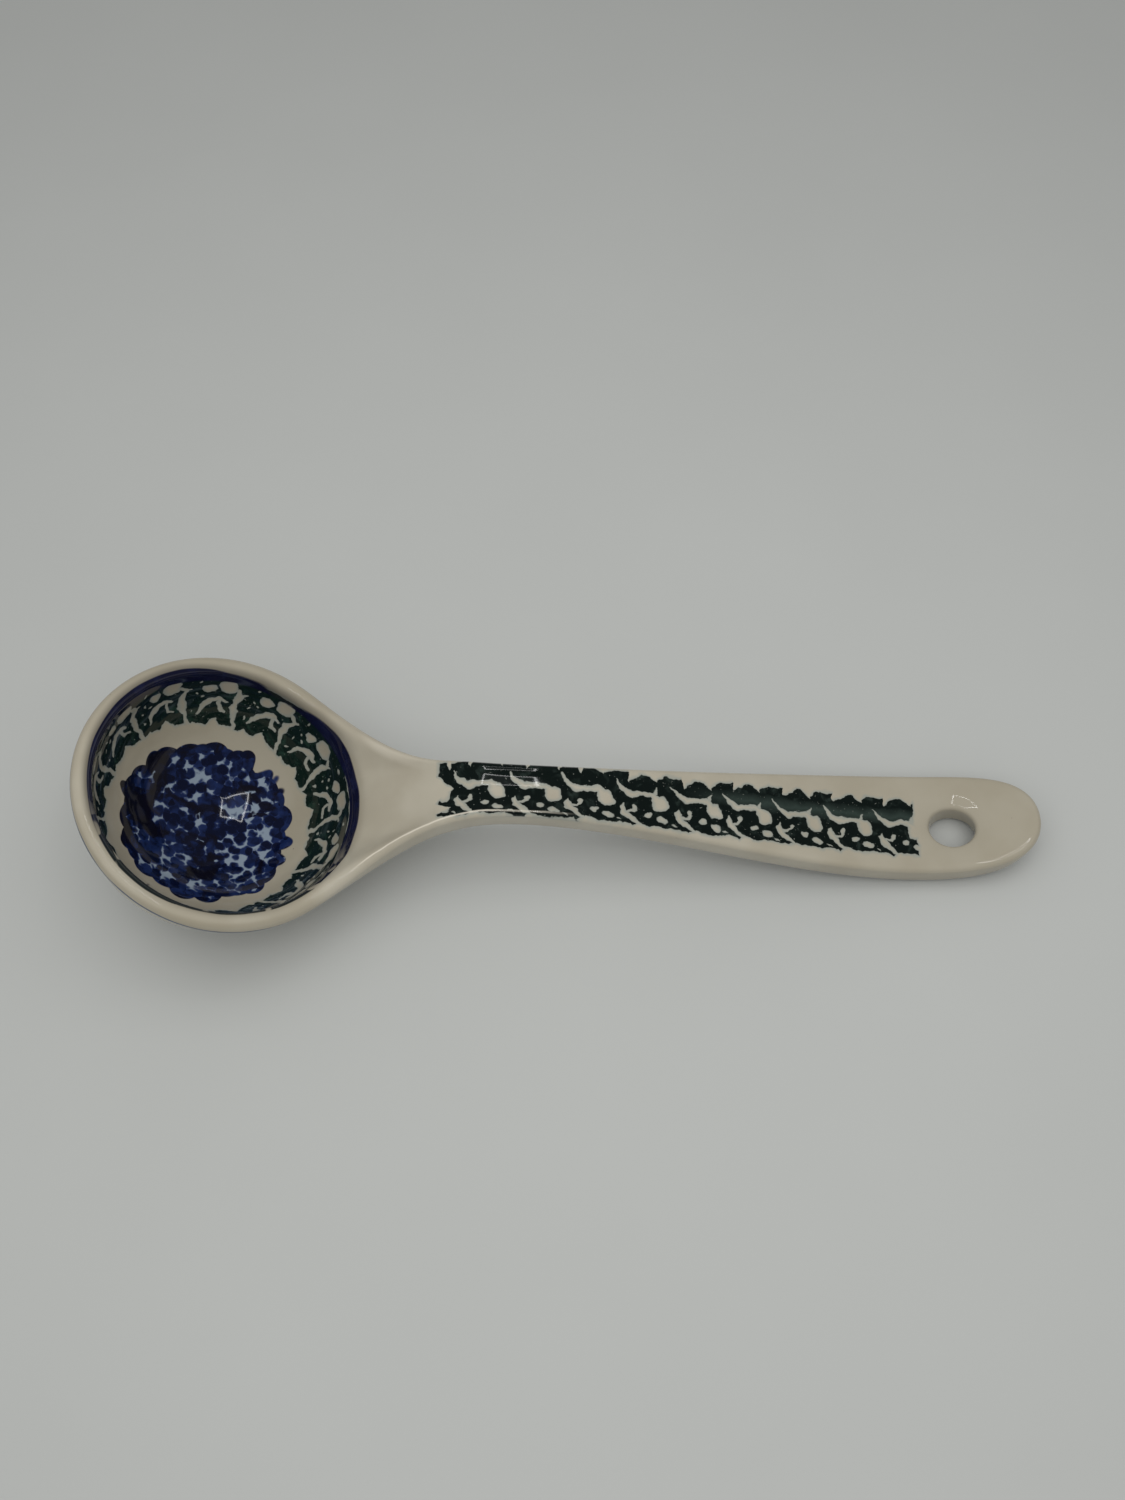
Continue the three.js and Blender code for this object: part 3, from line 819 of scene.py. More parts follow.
class NodeSheet:
    """The shader nodes of one material."""

    def __init__(self, name: str) -> None:
        """Starts an empty material.

        Args:
            name: Name of the material.
        """
        self.material = bpy.data.materials.new(name)
        self.material.use_nodes = True
        self.tree = self.material.node_tree
        self.tree.nodes.clear()
        self._place: Union[Value, None] = None

    def node(self, kind: str, settings: Union[dict, None] = None,
             inputs: Union[dict, None] = None) -> bpy.types.Node:
        """Adds one node.

        Args:
            kind: Blender's name of the node type, without its ShaderNode prefix.
            settings: Properties of the node, set first.
            inputs: Numbers, vectors or linked values, by socket name or number.

        Returns:
            The node.
        """
        made = self.tree.nodes.new("ShaderNode" + kind)
        for key, setting in (settings or {}).items():
            setattr(made, key, setting)
        for key, value in (inputs or {}).items():
            if isinstance(value, Value):
                self.tree.links.new(value.socket, made.inputs[key])
            else:
                made.inputs[key].default_value = value
        return made

    def value(self, kind: str, settings: Union[dict, None] = None, inputs: Union[dict, None] = None,
              output: Union[int, str] = 0) -> Value:
        """Adds one node and returns one of its outputs."""
        return Value(self, self.node(kind, settings, inputs).outputs[output])

    def math(self, operation: str, *values: Scalar) -> Value:
        """Adds a Math node."""
        return self.value("Math", {"operation": operation}, dict(enumerate(values)))

    def vector(self, operation: str, *values: Input, output: Union[int, str] = 0) -> Value:
        """Adds a Vector Math node."""
        return self.value("VectorMath", {"operation": operation}, dict(enumerate(values)), output)

    def dot(self, first: Input, second: Input) -> Value:
        """Returns the dot product of two vectors."""
        return self.vector("DOT_PRODUCT", first, second, output="Value")

    def scaled(self, vector: Input, factor: Scalar) -> Value:
        """Returns a vector times a factor."""
        return self.value("VectorMath", {"operation": "SCALE"}, {0: vector, "Scale": factor})

    def place(self) -> Value:
        """Returns the place on the object, in millimetres."""
        if self._place is None:
            self._place = self.scaled(self.value("TexCoord", output="Object"), 1 / MM)
        return self._place

    def facing_up(self) -> Value:
        """Returns how far the surface faces up, 1 where it is level."""
        return self.split(self.value("NewGeometry", output="Normal"))[2]

    def split(self, vector: Value) -> tuple[Value, Value, Value]:
        """Returns the three parts of a vector."""
        parts = self.node("SeparateXYZ", inputs={0: vector})
        return tuple(Value(self, output) for output in parts.outputs)

    def pair(self, first: Scalar, second: Scalar) -> Value:
        """Returns a flat vector of two values."""
        return self.value("CombineXYZ", inputs={0: first, 1: second})

    def noise(self, place: Value, grain: float, detail: float = 2.0, distortion: float = 0.0,
              output: str = "Fac") -> Value:
        """Adds a cloudy noise.

        Args:
            place: Where to read it, in millimetres.
            grain: Size of its clouds, in millimetres.
            detail: How many finer layers it has.
            distortion: How much it is stirred.
            output: Fac for a value, Color for three of them.

        Returns:
            The noise, round about one half.
        """
        inputs = {"Vector": place, "Scale": 1 / grain, "Detail": detail, "Distortion": distortion}
        return self.value("TexNoise", {"noise_dimensions": "3D"}, inputs, output)

    def cells(self, place: Value, size: float) -> tuple[Value, Value]:
        """Adds a pattern of round cells.

        Args:
            place: Where to read it, in millimetres.
            size: Size of the cells, in millimetres.

        Returns:
            The distance from the middle of the cell, in cells, and the chance colour of the cell.
        """
        made = self.node("TexVoronoi", {"feature": "F1"}, {"Vector": place, "Scale": 1 / size})
        return Value(self, made.outputs["Distance"]), Value(self, made.outputs["Color"])

    def wobble(self, place: Value, grain: float, reach: float) -> Value:
        """Moves a place about by noise.

        Args:
            place: The place, in millimetres.
            grain: Size of the noise's clouds, in millimetres.
            reach: About twice as far as it moves each way, in millimetres.

        Returns:
            The moved place.
        """
        cloud = self.noise(place, grain, 1.0, output="Color")
        moved = self.vector("MULTIPLY_ADD", cloud, (reach,) * 3, place)
        return self.vector("SUBTRACT", moved, (reach / 2,) * 3)

    def step(self, value: Value, low: float, high: float) -> Value:
        """Returns a soft step from 0 at low to 1 at high."""
        inputs = {"Value": value, "From Min": low, "From Max": high, "To Min": 0.0, "To Max": 1.0}
        return self.value("MapRange", {"interpolation_type": "SMOOTHSTEP"}, inputs)

    def mix(self, factor: Scalar, first: Input, second: Input) -> Value:
        """Returns a colour between two."""
        inputs = {0: factor, 6: first, 7: second}
        return self.value("Mix", {"data_type": "RGBA"}, inputs, 2)

    def finish(self, shader: bpy.types.Node) -> bpy.types.Material:
        """Links the shader to the output and returns the material."""
        output = self.node("OutputMaterial")
        self.tree.links.new(shader.outputs[0], output.inputs["Surface"])
        return self.material


def ink(red: int, green: int, blue: int) -> Colour:
    """Turns a colour as seen on a screen into the linear one that nodes take.

    Args:
        red: Red, from 0 to 255.
        green: Green, from 0 to 255.
        blue: Blue, from 0 to 255.

    Returns:
        The linear colour, with its alpha.
    """
    def linear(level: int) -> float:
        """Returns one linear channel."""
        share = level / 255
        return share / 12.92 if share <= 0.04045 else ((share + 0.055) / 1.055) ** 2.4
    return linear(red), linear(green), linear(blue), 1.0


def nearest(distances: Iterable[Value]) -> Value:
    """Returns the least of some distances."""
    return reduce(Value.least, distances)


@dataclass(frozen=True)
class Stroke:
    """A bare stroke in a stamp: points along it, each with its half width, in millimetres."""

    points: Sequence[tuple[float, float, float]]

    def distance(self, sheet: NodeSheet, spot: Value) -> Value:
        """Finds the distance outside the stroke's edge.

        Args:
            sheet: Nodes to add to.
            spot: Place in the stamp, in millimetres.

        Returns:
            The distance in millimetres, less than 0 inside.
        """
        legs = []
        for (x, y, half), (next_x, next_y, next_half) in zip(self.points, self.points[1:]):
            along = (next_x - x, next_y - y, 0.0)
            square = along[0] ** 2 + along[1] ** 2
            offset = sheet.vector("SUBTRACT", spot, (x, y, 0.0))
            reach = sheet.dot(offset, tuple(part / square for part in along))
            share = sheet.value("Clamp", inputs={0: reach})
            gap = sheet.vector("DISTANCE", offset, sheet.scaled(along, share), output="Value")
            legs.append(gap - (share * (next_half - half) + half))
        return nearest(legs)


class SpotShape(Enum):
    """How round a bare spot in a stamp is: the power in the formula of its outline."""

    OVAL = 2
    SQUARE = 3


@dataclass(frozen=True)
class Spot:
    """A bare spot in a stamp: its middle, half sizes in millimetres and turn in degrees."""

    x: float
    y: float
    half_x: float
    half_y: float
    turn: float = 0.0
    shape: SpotShape = SpotShape.OVAL

    def distance(self, sheet: NodeSheet, spot: Value) -> Value:
        """Finds about the distance outside the spot's edge.

        Args:
            sheet: Nodes to add to.
            spot: Place in the stamp, in millimetres.

        Returns:
            The distance in millimetres, less than 0 inside.
        """
        cosine, sine = math.cos(math.radians(self.turn)), math.sin(math.radians(self.turn))
        offset = sheet.vector("SUBTRACT", spot, (self.x, self.y, 0.0))
        first = sheet.dot(offset, (cosine / self.half_x, sine / self.half_x, 0.0))
        second = sheet.dot(offset, (-sine / self.half_y, cosine / self.half_y, 0.0))
        first, second = first * first, second * second
        if self.shape is SpotShape.SQUARE:
            power = self.shape.value
            total = sheet.math("POWER", first, power / 2) + sheet.math("POWER", second, power / 2)
            size = sheet.math("POWER", total, 1 / power)
        else:
            size = (first + second).root()
        return (size - 1.0) * min(self.half_x, self.half_y)


def bare_distance(sheet: NodeSheet, spot: Value, marks: Iterable[Union[Stroke, Spot]]) -> Value:
    """Returns the distance to the nearest bare mark of a stamp."""
    return nearest(mark.distance(sheet, spot) for mark in marks)


@dataclass(frozen=True)
class Notch:
    """A pointed dip in an edge: its middle, its half width and its depth."""

    middle: float
    half: float
    depth: float

    def dip(self, value: Value) -> Value:
        """Returns how far the edge dips: all at the middle, nothing past the half width."""
        return (1.0 - abs(value - self.middle) / self.half).most(0.0) * self.depth


@dataclass(frozen=True)
class Slope:
    """A one-sided dip in an edge: its deep start, its shallow end and its depth."""

    start: float
    end: float
    depth: float

    def dip(self, value: Value) -> Value:
        """Returns how far the edge dips: all just past the start, nothing before it or past the end."""
        share = (value - self.start) / (self.end - self.start)
        return (1.0 - share).most(0.0) * value.sheet.math("GREATER_THAN", share, 0.0) * self.depth


def dips(value: Value, shapes: Iterable[Union[Notch, Slope]]) -> Value:
    """Returns how far an edge dips by all its notches and slopes together."""
    return reduce(Value.__add__, (shape.dip(value) for shape in shapes))


@dataclass(frozen=True)
class StampRow:
    """A row of stamps: the space for each, in millimetres, and how unevenly they are set."""

    pitch: float
    lead: float
    jog: float
    lift: float
    seed: float

    def cell(self, sheet: NodeSheet, run: Value, height: Value) -> tuple[Value, Value]:
        """Finds the place in the stamp that a point of the row is in.

        Args:
            sheet: Nodes to add to.
            run: Place along the row, in millimetres.
            height: Place across the row, in millimetres.

        Returns:
            The places along and across that stamp, in millimetres.
        """
        count = ((run + self.lead) / self.pitch).floor()
        inputs = {"W": count + self.seed}
        chance = sheet.value("TexWhiteNoise", {"noise_dimensions": "1D"}, inputs, "Color")
        jog, lift, _ = sheet.split(chance)
        cell_x = run - count * self.pitch + (jog - 0.5) * self.jog
        return cell_x, height + (lift - 0.5) * self.lift


@dataclass(frozen=True)
class GlazedClay:
    """Clear gloss glaze on cream stoneware, with soft clouds and iron pinholes, in millimetres."""

    cream: Colour = ink(180, 174, 158)
    deep_cream: Colour = ink(170, 163, 146)
    # tan: on the bowl it paints shade on the rim and inside; on the handle it darkens the end
    tan: Colour = ink(150, 142, 123)
    iron: Colour = ink(74, 52, 36)
    bare_clay: Colour = ink(158, 138, 112)
    cloud_grain: float = 14.0
    cloud_level: Span = (0.3, 0.7)
    pinhole_spacing: float = 3.2
    pinhole_rarity: float = 0.78
    pinhole_size: float = 0.28
    pinhole_edge: float = 0.03
    pinhole_least: float = 0.35
    pinhole_spread: float = 0.5
    pinhole_depth: float = 0.03
    swell_grain: float = 9.0
    swell_height: float = 0.05
    peel_grain: float = 1.4
    peel_height: float = 0.0025
    relief: float = 0.6
    gloss: float = 0.055
    gloss_grain: float = 3.0
    gloss_spread: float = 0.04
    refraction: float = 1.5

    def colour(self, sheet: NodeSheet, tan_and_painted_shade: Value) -> Value:
        """Mixes the colour of the clay under the glaze.

        Args:
            sheet: Nodes to add to.
            tan_and_painted_shade: Share of the tan colour: on the bowl it is painted shade, on the handle
                a tone that darkens towards the end.

        Returns:
            The colour.
        """
        clouds = sheet.step(sheet.noise(sheet.place(), self.cloud_grain, 3.0), *self.cloud_level)
        cream = sheet.mix(clouds, self.deep_cream, self.cream)
        # tan mixed in; on the bowl this is painted shade
        cream = sheet.mix(tan_and_painted_shade, cream, self.tan)
        return sheet.mix(self.pinholes(sheet), cream, self.iron)

    def pinholes(self, sheet: NodeSheet) -> Value:
        """Scatters a few dark pinholes.

        Args:
            sheet: Nodes to add to.

        Returns:
            How dark the pinhole is, and 0 between them.
        """
        distance, chance = sheet.cells(sheet.place(), self.pinhole_spacing)
        red, green, _ = sheet.split(chance)
        reach = (red - self.pinhole_rarity).most(0.0) * self.pinhole_size
        tint = self.pinhole_least + green * self.pinhole_spread
        return sheet.step(reach - distance, 0.0, self.pinhole_edge) * tint

    def shader(self, sheet: NodeSheet, colour: Value, rough: Scalar = 0.0) -> bpy.types.Node:
        """Lays the glaze over a colour.

        Args:
            sheet: Nodes to add to.
            colour: Colour under the glaze.
            rough: Extra roughness where the glaze is wiped off.

        Returns:
            The shader node.
        """
        place = sheet.place()
        swell = sheet.noise(place, self.swell_grain, 1.0) * self.swell_height
        peel = sheet.noise(place, self.peel_grain, 2.0) * self.peel_height
        height = swell + peel - self.pinholes(sheet) * self.pinhole_depth
        inputs = {"Strength": self.relief, "Distance": MM, "Height": height}
        bump = sheet.value("Bump", inputs=inputs, output="Normal")
        gloss = sheet.noise(place, self.gloss_grain, 3.0) * self.gloss_spread
        gloss = gloss + (self.gloss - self.gloss_spread / 2) + rough
        return sheet.node("BsdfPrincipled", inputs={
            "Base Color": colour, "Roughness": gloss, "IOR": self.refraction, "Normal": bump})


@dataclass(frozen=True)
class PaintedRidgeHighlight:
    """Painted highlight: a pale line along the ridges of shoulder and neck, where light catches them, in
    millimetres.
    """

    # colour of the painted highlight
    colour: Colour = ink(226, 219, 203)
    start: float = 26.0
    waist: float = 62.0
    end: float = 80.0
    far_short: float = 33.0
    run_in: float = 6.0
    run_out: float = 10.0
    across: float = 5.6
    flare: float = 37.0
    flare_square: float = 8.26
    flare_cube: float = 5.75
    waver: Span = (3.0, 0.3)
    crisp_edge: Span = (0.1, 0.32)
    crisp_share: float = 0.7
    crisp_loss: float = 0.3
    crisp_fade: Span = (58.0, 64.0)
    soft_edge: Span = (0.2, 1.9)
    soft_share: float = 0.3
    soft_inset: float = 0.5
    level: Span = (0.4, 0.7)

    def lay(self, sheet: NodeSheet, ground: Value) -> Value:
        """Lays the painted highlight on a ground, crisp on the near ridge and soft on the far one.

        Args:
            sheet: Nodes to add to.
            ground: Colour under it.

        Returns:
            The colour with the line.
        """
        along, across, _ = sheet.split(sheet.wobble(sheet.place(), *self.waver))
        back = ((self.waist - along) / self.flare).most(0.0)
        ridge = back * back * (back * self.flare_cube + self.flare_square) + self.across
        far = sheet.step(across, -1.0, 1.0)
        crisp = 1.0 - sheet.step(abs(across + ridge), *self.crisp_edge)
        soft = 1.0 - sheet.step(abs(across - ridge + self.soft_inset), *self.soft_edge)
        line = crisp * (self.crisp_share - sheet.step(along, *self.crisp_fade) * self.crisp_loss)
        line = line + soft * self.soft_share
        ended = sheet.step(along + far * self.far_short, self.end - self.run_out, self.end)
        run = sheet.step(along, self.start, self.start + self.run_in) * (1.0 - ended)
        # painted highlight: pale colour mixed in along the ridges, only where they face up
        return sheet.mix(line * run * sheet.step(sheet.facing_up(), *self.level), ground, self.colour)


@dataclass(frozen=True)
class StampColour:
    """Blackish green sponged colour, patchy as a sponge leaves it, in millimetres."""

    deep: Colour = ink(9, 18, 16)
    thin: Colour = ink(54, 66, 61)
    # pale halo where the stamp colour bleeds into the ground
    bleed_and_painted_shade: Colour = ink(138, 147, 142)
    edge: Span = (-0.1, 0.1)
    patch_grain: float = 2.6
    patch_level: Span = (0.52, 0.78)
    patch_share: float = 0.5
    pore_grain: float = 0.6
    pore_level: Span = (0.68, 0.76)
    pore_share: float = 0.55
    bleed_edge: Span = (-1.0, 0.1)
    bleed_and_painted_shade_share: float = 0.7

    def lay(self, sheet: NodeSheet, ground: Value, inside: Value, fade: Scalar = 0.0) -> Value:
        """Lays the colour on a ground.

        Args:
            sheet: Nodes to add to.
            ground: Colour under it.
            inside: Distance inside the stamp's edge, in millimetres.
            fade: Share of it that is dabbed on thinly.

        Returns:
            The colour with the stamp.
        """
        place = sheet.place()
        patches = sheet.step(sheet.noise(place, self.patch_grain, 4.0, 0.6), *self.patch_level)
        pores = sheet.step(sheet.noise(place, self.pore_grain, 2.0), *self.pore_level)
        colour = sheet.mix((patches * self.patch_share).most(fade), self.deep, self.thin)
        # the stamp colour's bleed: a pale halo just outside its edge
        halo_and_painted_shade = sheet.step(inside, *self.bleed_edge) * self.bleed_and_painted_shade_share
        cover = sheet.step(inside, *self.edge) * (1.0 - pores * self.pore_share)
        return sheet.mix(cover, sheet.mix(halo_and_painted_shade, ground, self.bleed_and_painted_shade), colour)


@dataclass(frozen=True)
class HandleStrip:
    """The strip of stamps along the top of the handle, in millimetres."""

    row: StampRow = StampRow(pitch=12.7, lead=0.5, jog=0.5, lift=0.5, seed=0.0)
    first: float = 51.6
    start: float = 48.2
    start_notches: tuple = (Notch(0.8, 3.2, 3.6), Notch(-4.2, 1.3, 3.2))
    end: float = 163.4
    end_notch: Notch = Notch(-0.5, 3.0, -1.2)
    drift_start: float = 85.0
    drift: float = -0.031
    top: float = 6.8
    top_gain: float = 1.5
    top_rise: Span = (104.0, 132.0)
    humps: tuple = (Slope(2.9, 6.4, 2.2), Slope(9.7, 7.4, 1.9), Slope(9.7, 11.8, 1.3))
    lobes: tuple = (Notch(4.2, 0.7, 1.7), Notch(11.6, 0.6, 1.5))
    widening: Span = (76.0, 94.0)
    bottom: float = -6.4
    bottom_notches: tuple = (Notch(5.3, 1.4, 0.6), Notch(3.4, 0.7, -0.4))
    thin_band: Notch = Notch(3.4, 2.4, 0.8)
    thinning: Span = (104.0, 122.0)
    grit: Span = (0.8, 0.45)
    sway: Span = (2.6, 1.7)
    least_level: float = 0.2
    valley: Stroke = Stroke(((9.7, 3.7, 0.1), (9.2, 2.4, 0.4)))
    valley_closed: float = 3.0
    marks: tuple = (
        Stroke(((0.0, 4.6, 0.12), (1.5, 2.5, 0.6), (3.6, 1.3, 0.95), (6.1, 1.65, 0.6), (8.6, 1.7, 0.7),
                (9.6, 0.6, 1.1))),
        Spot(10.2, -0.3, 1.8, 2.0, 12.0, SpotShape.SQUARE),
        Stroke(((1.5, -1.2, 0.12), (1.2, -2.3, 0.7), (1.5, -3.4, 0.85), (3.1, -4.9, 0.65),
                (5.3, -6.4, 0.25))),
        Stroke(((2.0, -3.0, 0.35), (3.5, -2.9, 0.32), (4.1, -2.2, 0.4), (4.15, -1.6, 0.58))),
        Spot(7.35, -3.5, 0.95, 0.65, 12.0),
        Spot(10.5, -4.6, 1.3, 0.75, -15.0),
        Spot(0.4, -5.6, 0.6, 0.2, -25.0),
    )

    def lay(self, sheet: NodeSheet, form: LadleForm, stamp: StampColour, ground: Value) -> Value:
        """Lays the strip on a ground.

        Args:
            sheet: Nodes to add to.
            form: Sizes of the ladle.
            stamp: Colour of the stamps.
            ground: Colour under them.

        Returns:
            The colour with the strip.
        """
        moved = sheet.wobble(sheet.wobble(sheet.place(), *self.grit), *self.sway)
        along, across, _ = sheet.split(moved)
        along = along + form.foot_reach
        middle = (along - self.drift_start).most(0.0) * self.drift
        cell_x, cell_y = self.row.cell(sheet, along - self.first, across - middle)
        spot = sheet.pair(cell_x, cell_y)
        wide = sheet.step(along, *self.widening)
        narrow = 1.0 - wide
        valley = self.valley.distance(sheet, spot) + narrow * self.valley_closed
        bare = bare_distance(sheet, spot, self.marks).least(valley)
        top = self.top + sheet.step(along, *self.top_rise) * self.top_gain
        top = top - dips(cell_x, self.humps) * wide - dips(cell_x, self.lobes) * narrow
        bottom = self.bottom + dips(cell_x, self.bottom_notches)
        start = self.start + dips(across, self.start_notches)
        ends = (along - start).least(self.end - along + self.end_notch.dip(across))
        level = (sheet.facing_up() - self.least_level) * CRISP
        inside = (top - cell_y).least(cell_y - bottom).least(ends).least(bare).least(level)
        fade = self.thin_band.dip(cell_y) * sheet.step(along, *self.thinning)
        return stamp.lay(sheet, ground, inside, fade)


@dataclass(frozen=True)
class BowlPlace:
    """Where a point is in the bowl: round its axis, below its rim and out from its axis."""

    angle: Value
    fall: Value
    radius: Value
    height: Value
    inside: Value

    @classmethod
    def of(cls, sheet: NodeSheet, form: LadleForm, place: Value) -> "BowlPlace":
        """Works the place out from object coordinates.

        Args:
            sheet: Nodes to add to.
            form: Sizes of the ladle.
            place: Object coordinates, in millimetres.

        Returns:
            The place, its angle in degrees and the rest in millimetres.
        """
        stretch = form.wall_radius / form.bowl_depth
        offset = sheet.vector("SUBTRACT", place, tuple(form.centre))
        forward = sheet.dot(offset, tuple(form.forward))
        side = sheet.dot(offset, tuple(SIDE))
        height = sheet.dot(offset, tuple(form.axis))
        radius = (forward * forward + side * side).root()
        angle = sheet.math("ARCTAN2", side, forward) * math.degrees(1)
        fall = sheet.math("ARCTAN2", height * -stretch, radius) * WALL_MEASURE
        reach = (radius * radius + height * height * stretch ** 2).root()
        return cls(angle, fall, radius, height, form.wall_radius + WALL_SLACK - reach)

    def towards(self, heading: float) -> Value:
        """Returns 1 at a heading round the axis, in degrees, falling to -1 opposite to it."""
        return self.angle.sheet.math("COSINE", (self.angle - heading) * math.radians(1))


@dataclass(frozen=True)
class BowlBorder:
    """The border of stamps round the inner wall, in millimetres along and below the rim."""

    row: StampRow = StampRow(pitch=13.05, lead=1.4, jog=0.5, lift=0.6, seed=0.5)
    repeats: int = 13
    first: float = 0.5
    top_edge: float = 0.5
    low_edge: float = 17.0
    low_notches: tuple = (Notch(5.5, 2.2, 2.2), Notch(10.6, 0.8, 0.7))
    marks: tuple = (
        Stroke(((-0.4, 17.8, 0.7), (0.4, 14.5, 0.45), (1.7, 11.3, 0.8), (1.5, 9.0, 0.75), (0.7, 6.6, 0.6),
                (1.8, 5.0, 0.5))),
        Stroke(((-0.4, 6.0, 0.2), (0.8, 6.6, 0.5))),
        Spot(4.2, 4.3, 2.1, 2.3, 8.0, SpotShape.SQUARE),
        Spot(8.3, 5.7, 1.5, 1.65, -20.0),
        Stroke(((3.8, 9.9, 0.4), (5.5, 9.0, 0.75), (7.3, 9.8, 0.85), (8.9, 11.6, 0.75),
                (10.0, 14.2, 0.25))),
        Stroke(((3.2, 12.7, 0.4), (4.7, 12.4, 0.5), (5.2, 11.2, 0.45), (5.3, 9.8, 0.4))),
        Spot(12.0, 10.2, 0.65, 0.45, 30.0),
        Spot(9.6, 8.8, 0.4, 0.4),
        Spot(11.0, 3.0, 0.3, 0.55, -15.0),
        Spot(10.7, 7.6, 0.25, 0.45, 20.0),
        Spot(11.6, 13.3, 0.35, 0.5, -30.0),
    )

    def inside(self, sheet: NodeSheet, place: BowlPlace) -> Value:
        """Finds the distance inside the stamped colour.

        Args:
            sheet: Nodes to add to.
            place: Place in the bowl.

        Returns:
            The distance, in millimetres.
        """
        run = (place.angle - self.first) * (self.row.pitch * self.repeats / 360)
        cell_x, cell_y = self.row.cell(sheet, run, place.fall)
        bare = bare_distance(sheet, sheet.pair(cell_x, cell_y), self.marks)
        low = self.low_edge - dips(cell_x, self.low_notches)
        return (low - cell_y).least(bare).least(place.fall - self.top_edge).least(place.inside * CRISP)


@dataclass(frozen=True)
class RimLine:
    """The dark blue line painted round the inside of the rim and the thin one round its outside, with
    painted shade on the rim roll just above the inner line.
    """

    colour: Colour = ink(17, 19, 42)
    thin: Colour = ink(25, 29, 60)
    lapped: Colour = ink(30, 37, 34)
    # grey of the painted shade on the rim roll above the inner line
    bleed_and_painted_shade: Colour = ink(40, 40, 40)
    outer: Colour = ink(66, 78, 96)
    waver: Span = (11.0, 0.8)
    radius: float = 29.9
    inner_radius: float = 24.0
    low_edge: float = -2.3
    high_edge: float = 3.0
    high_sharpness: float = 2.0
    neck_reach: float = 0.9
    neck_lift: float = 1.9
    back_reach: float = 0.85
    back_begin: Span = (0.0, 0.5)
    far_gap: Notch = Notch(72.0, 45.0, 0.95)
    near_reach: float = 0.3
    near_begin: Span = (0.2, 0.75)
    lapped_share: float = 0.85
    streak_grain: float = 3.0
    streak_level: Span = (0.45, 0.75)
    streak_share: float = 0.7
    break_grain: float = 4.5
    break_level: Span = (0.57, 0.63)
    # painted shade above the inner line: its width, end, height limits and strength, less at the neck and
    # on the near side
    painted_shade_width: float = 1.8
    painted_shade_end: Span = (0.1, 0.3)
    painted_shade_low: Span = (-2.5, -1.5)
    bleed_and_painted_shade_share: float = 0.5
    painted_shade_neck_loss: float = 0.4
    painted_shade_near_loss: float = 0.35
    outer_top: float = 0.3
    outer_low: float = -1.6
    outer_radius: float = 30.6
    outer_end: Span = (0.3, 0.6)

    def lay(self, sheet: NodeSheet, form: LadleForm, ground: Value) -> Value:
        """Lays both lines, and the painted shade above the inner one, on a ground.

        Args:
            sheet: Nodes to add to.
            form: Sizes of the ladle.
            ground: Colour under them.

        Returns:
            The colour with the lines and the painted shade.
        """
        place = BowlPlace.of(sheet, form, sheet.wobble(sheet.place(), *self.waver))
        facing = place.towards(0.0)
        neck = facing.most(0.0) * facing * facing
        back = sheet.step(facing * -1.0, *self.back_begin)
        near = sheet.step(place.towards(NEAR_SIDE), *self.near_begin)
        reach = neck * self.neck_reach + back * self.back_reach + near * self.near_reach + self.radius
        rim_side = reach - self.far_gap.dip(place.angle) - place.radius
        ground = sheet.mix(self._outside(sheet, place, facing), ground, self.outer)
        # painted shade: grey darkening of the rim roll just above the inner line
        halo_and_painted_shade = sheet.step(rim_side, -self.painted_shade_width, 0.0) * (1.0 - sheet.step(rim_side, *self.painted_shade_end))
        halo_and_painted_shade = halo_and_painted_shade * (self.bleed_and_painted_shade_share - neck * self.painted_shade_neck_loss - near * self.painted_shade_near_loss)
        ground = sheet.mix(halo_and_painted_shade * sheet.step(place.height, *self.painted_shade_low), ground, self.bleed_and_painted_shade)
        inside = (place.height - self.low_edge - neck * self.neck_lift).least(rim_side)
        inside = inside.least((self.high_edge - place.height) * self.high_sharpness)
        inside = inside.least(place.radius - self.inner_radius)
        streaks = sheet.step(sheet.noise(sheet.place(), self.streak_grain, 3.0), *self.streak_level)
        colour = sheet.mix(streaks * self.streak_share, self.colour, self.thin)
        colour = sheet.mix(near * self.lapped_share, colour, self.lapped)
        breaks = near * sheet.step(sheet.noise(sheet.place(), self.break_grain, 1.0), *self.break_level)
        return sheet.mix(sheet.step(inside, *PAINT_EDGE) * (1.0 - breaks), ground, colour)

    def _outside(self, sheet: NodeSheet, place: BowlPlace, facing: Value) -> Value:
        """Finds where the thin line round the outside of the rim is.

        Args:
            sheet: Nodes to add to.
            place: Place in the bowl.
            facing: How far round towards the neck the place is.

        Returns:
            1 on the line and 0 beside it.
        """
        inside = (self.outer_top - place.height).least(place.height - self.outer_low)
        inside = inside.least(place.radius - self.outer_radius)
        return sheet.step(inside, *PAINT_EDGE) * (1.0 - sheet.step(facing, *self.outer_end))


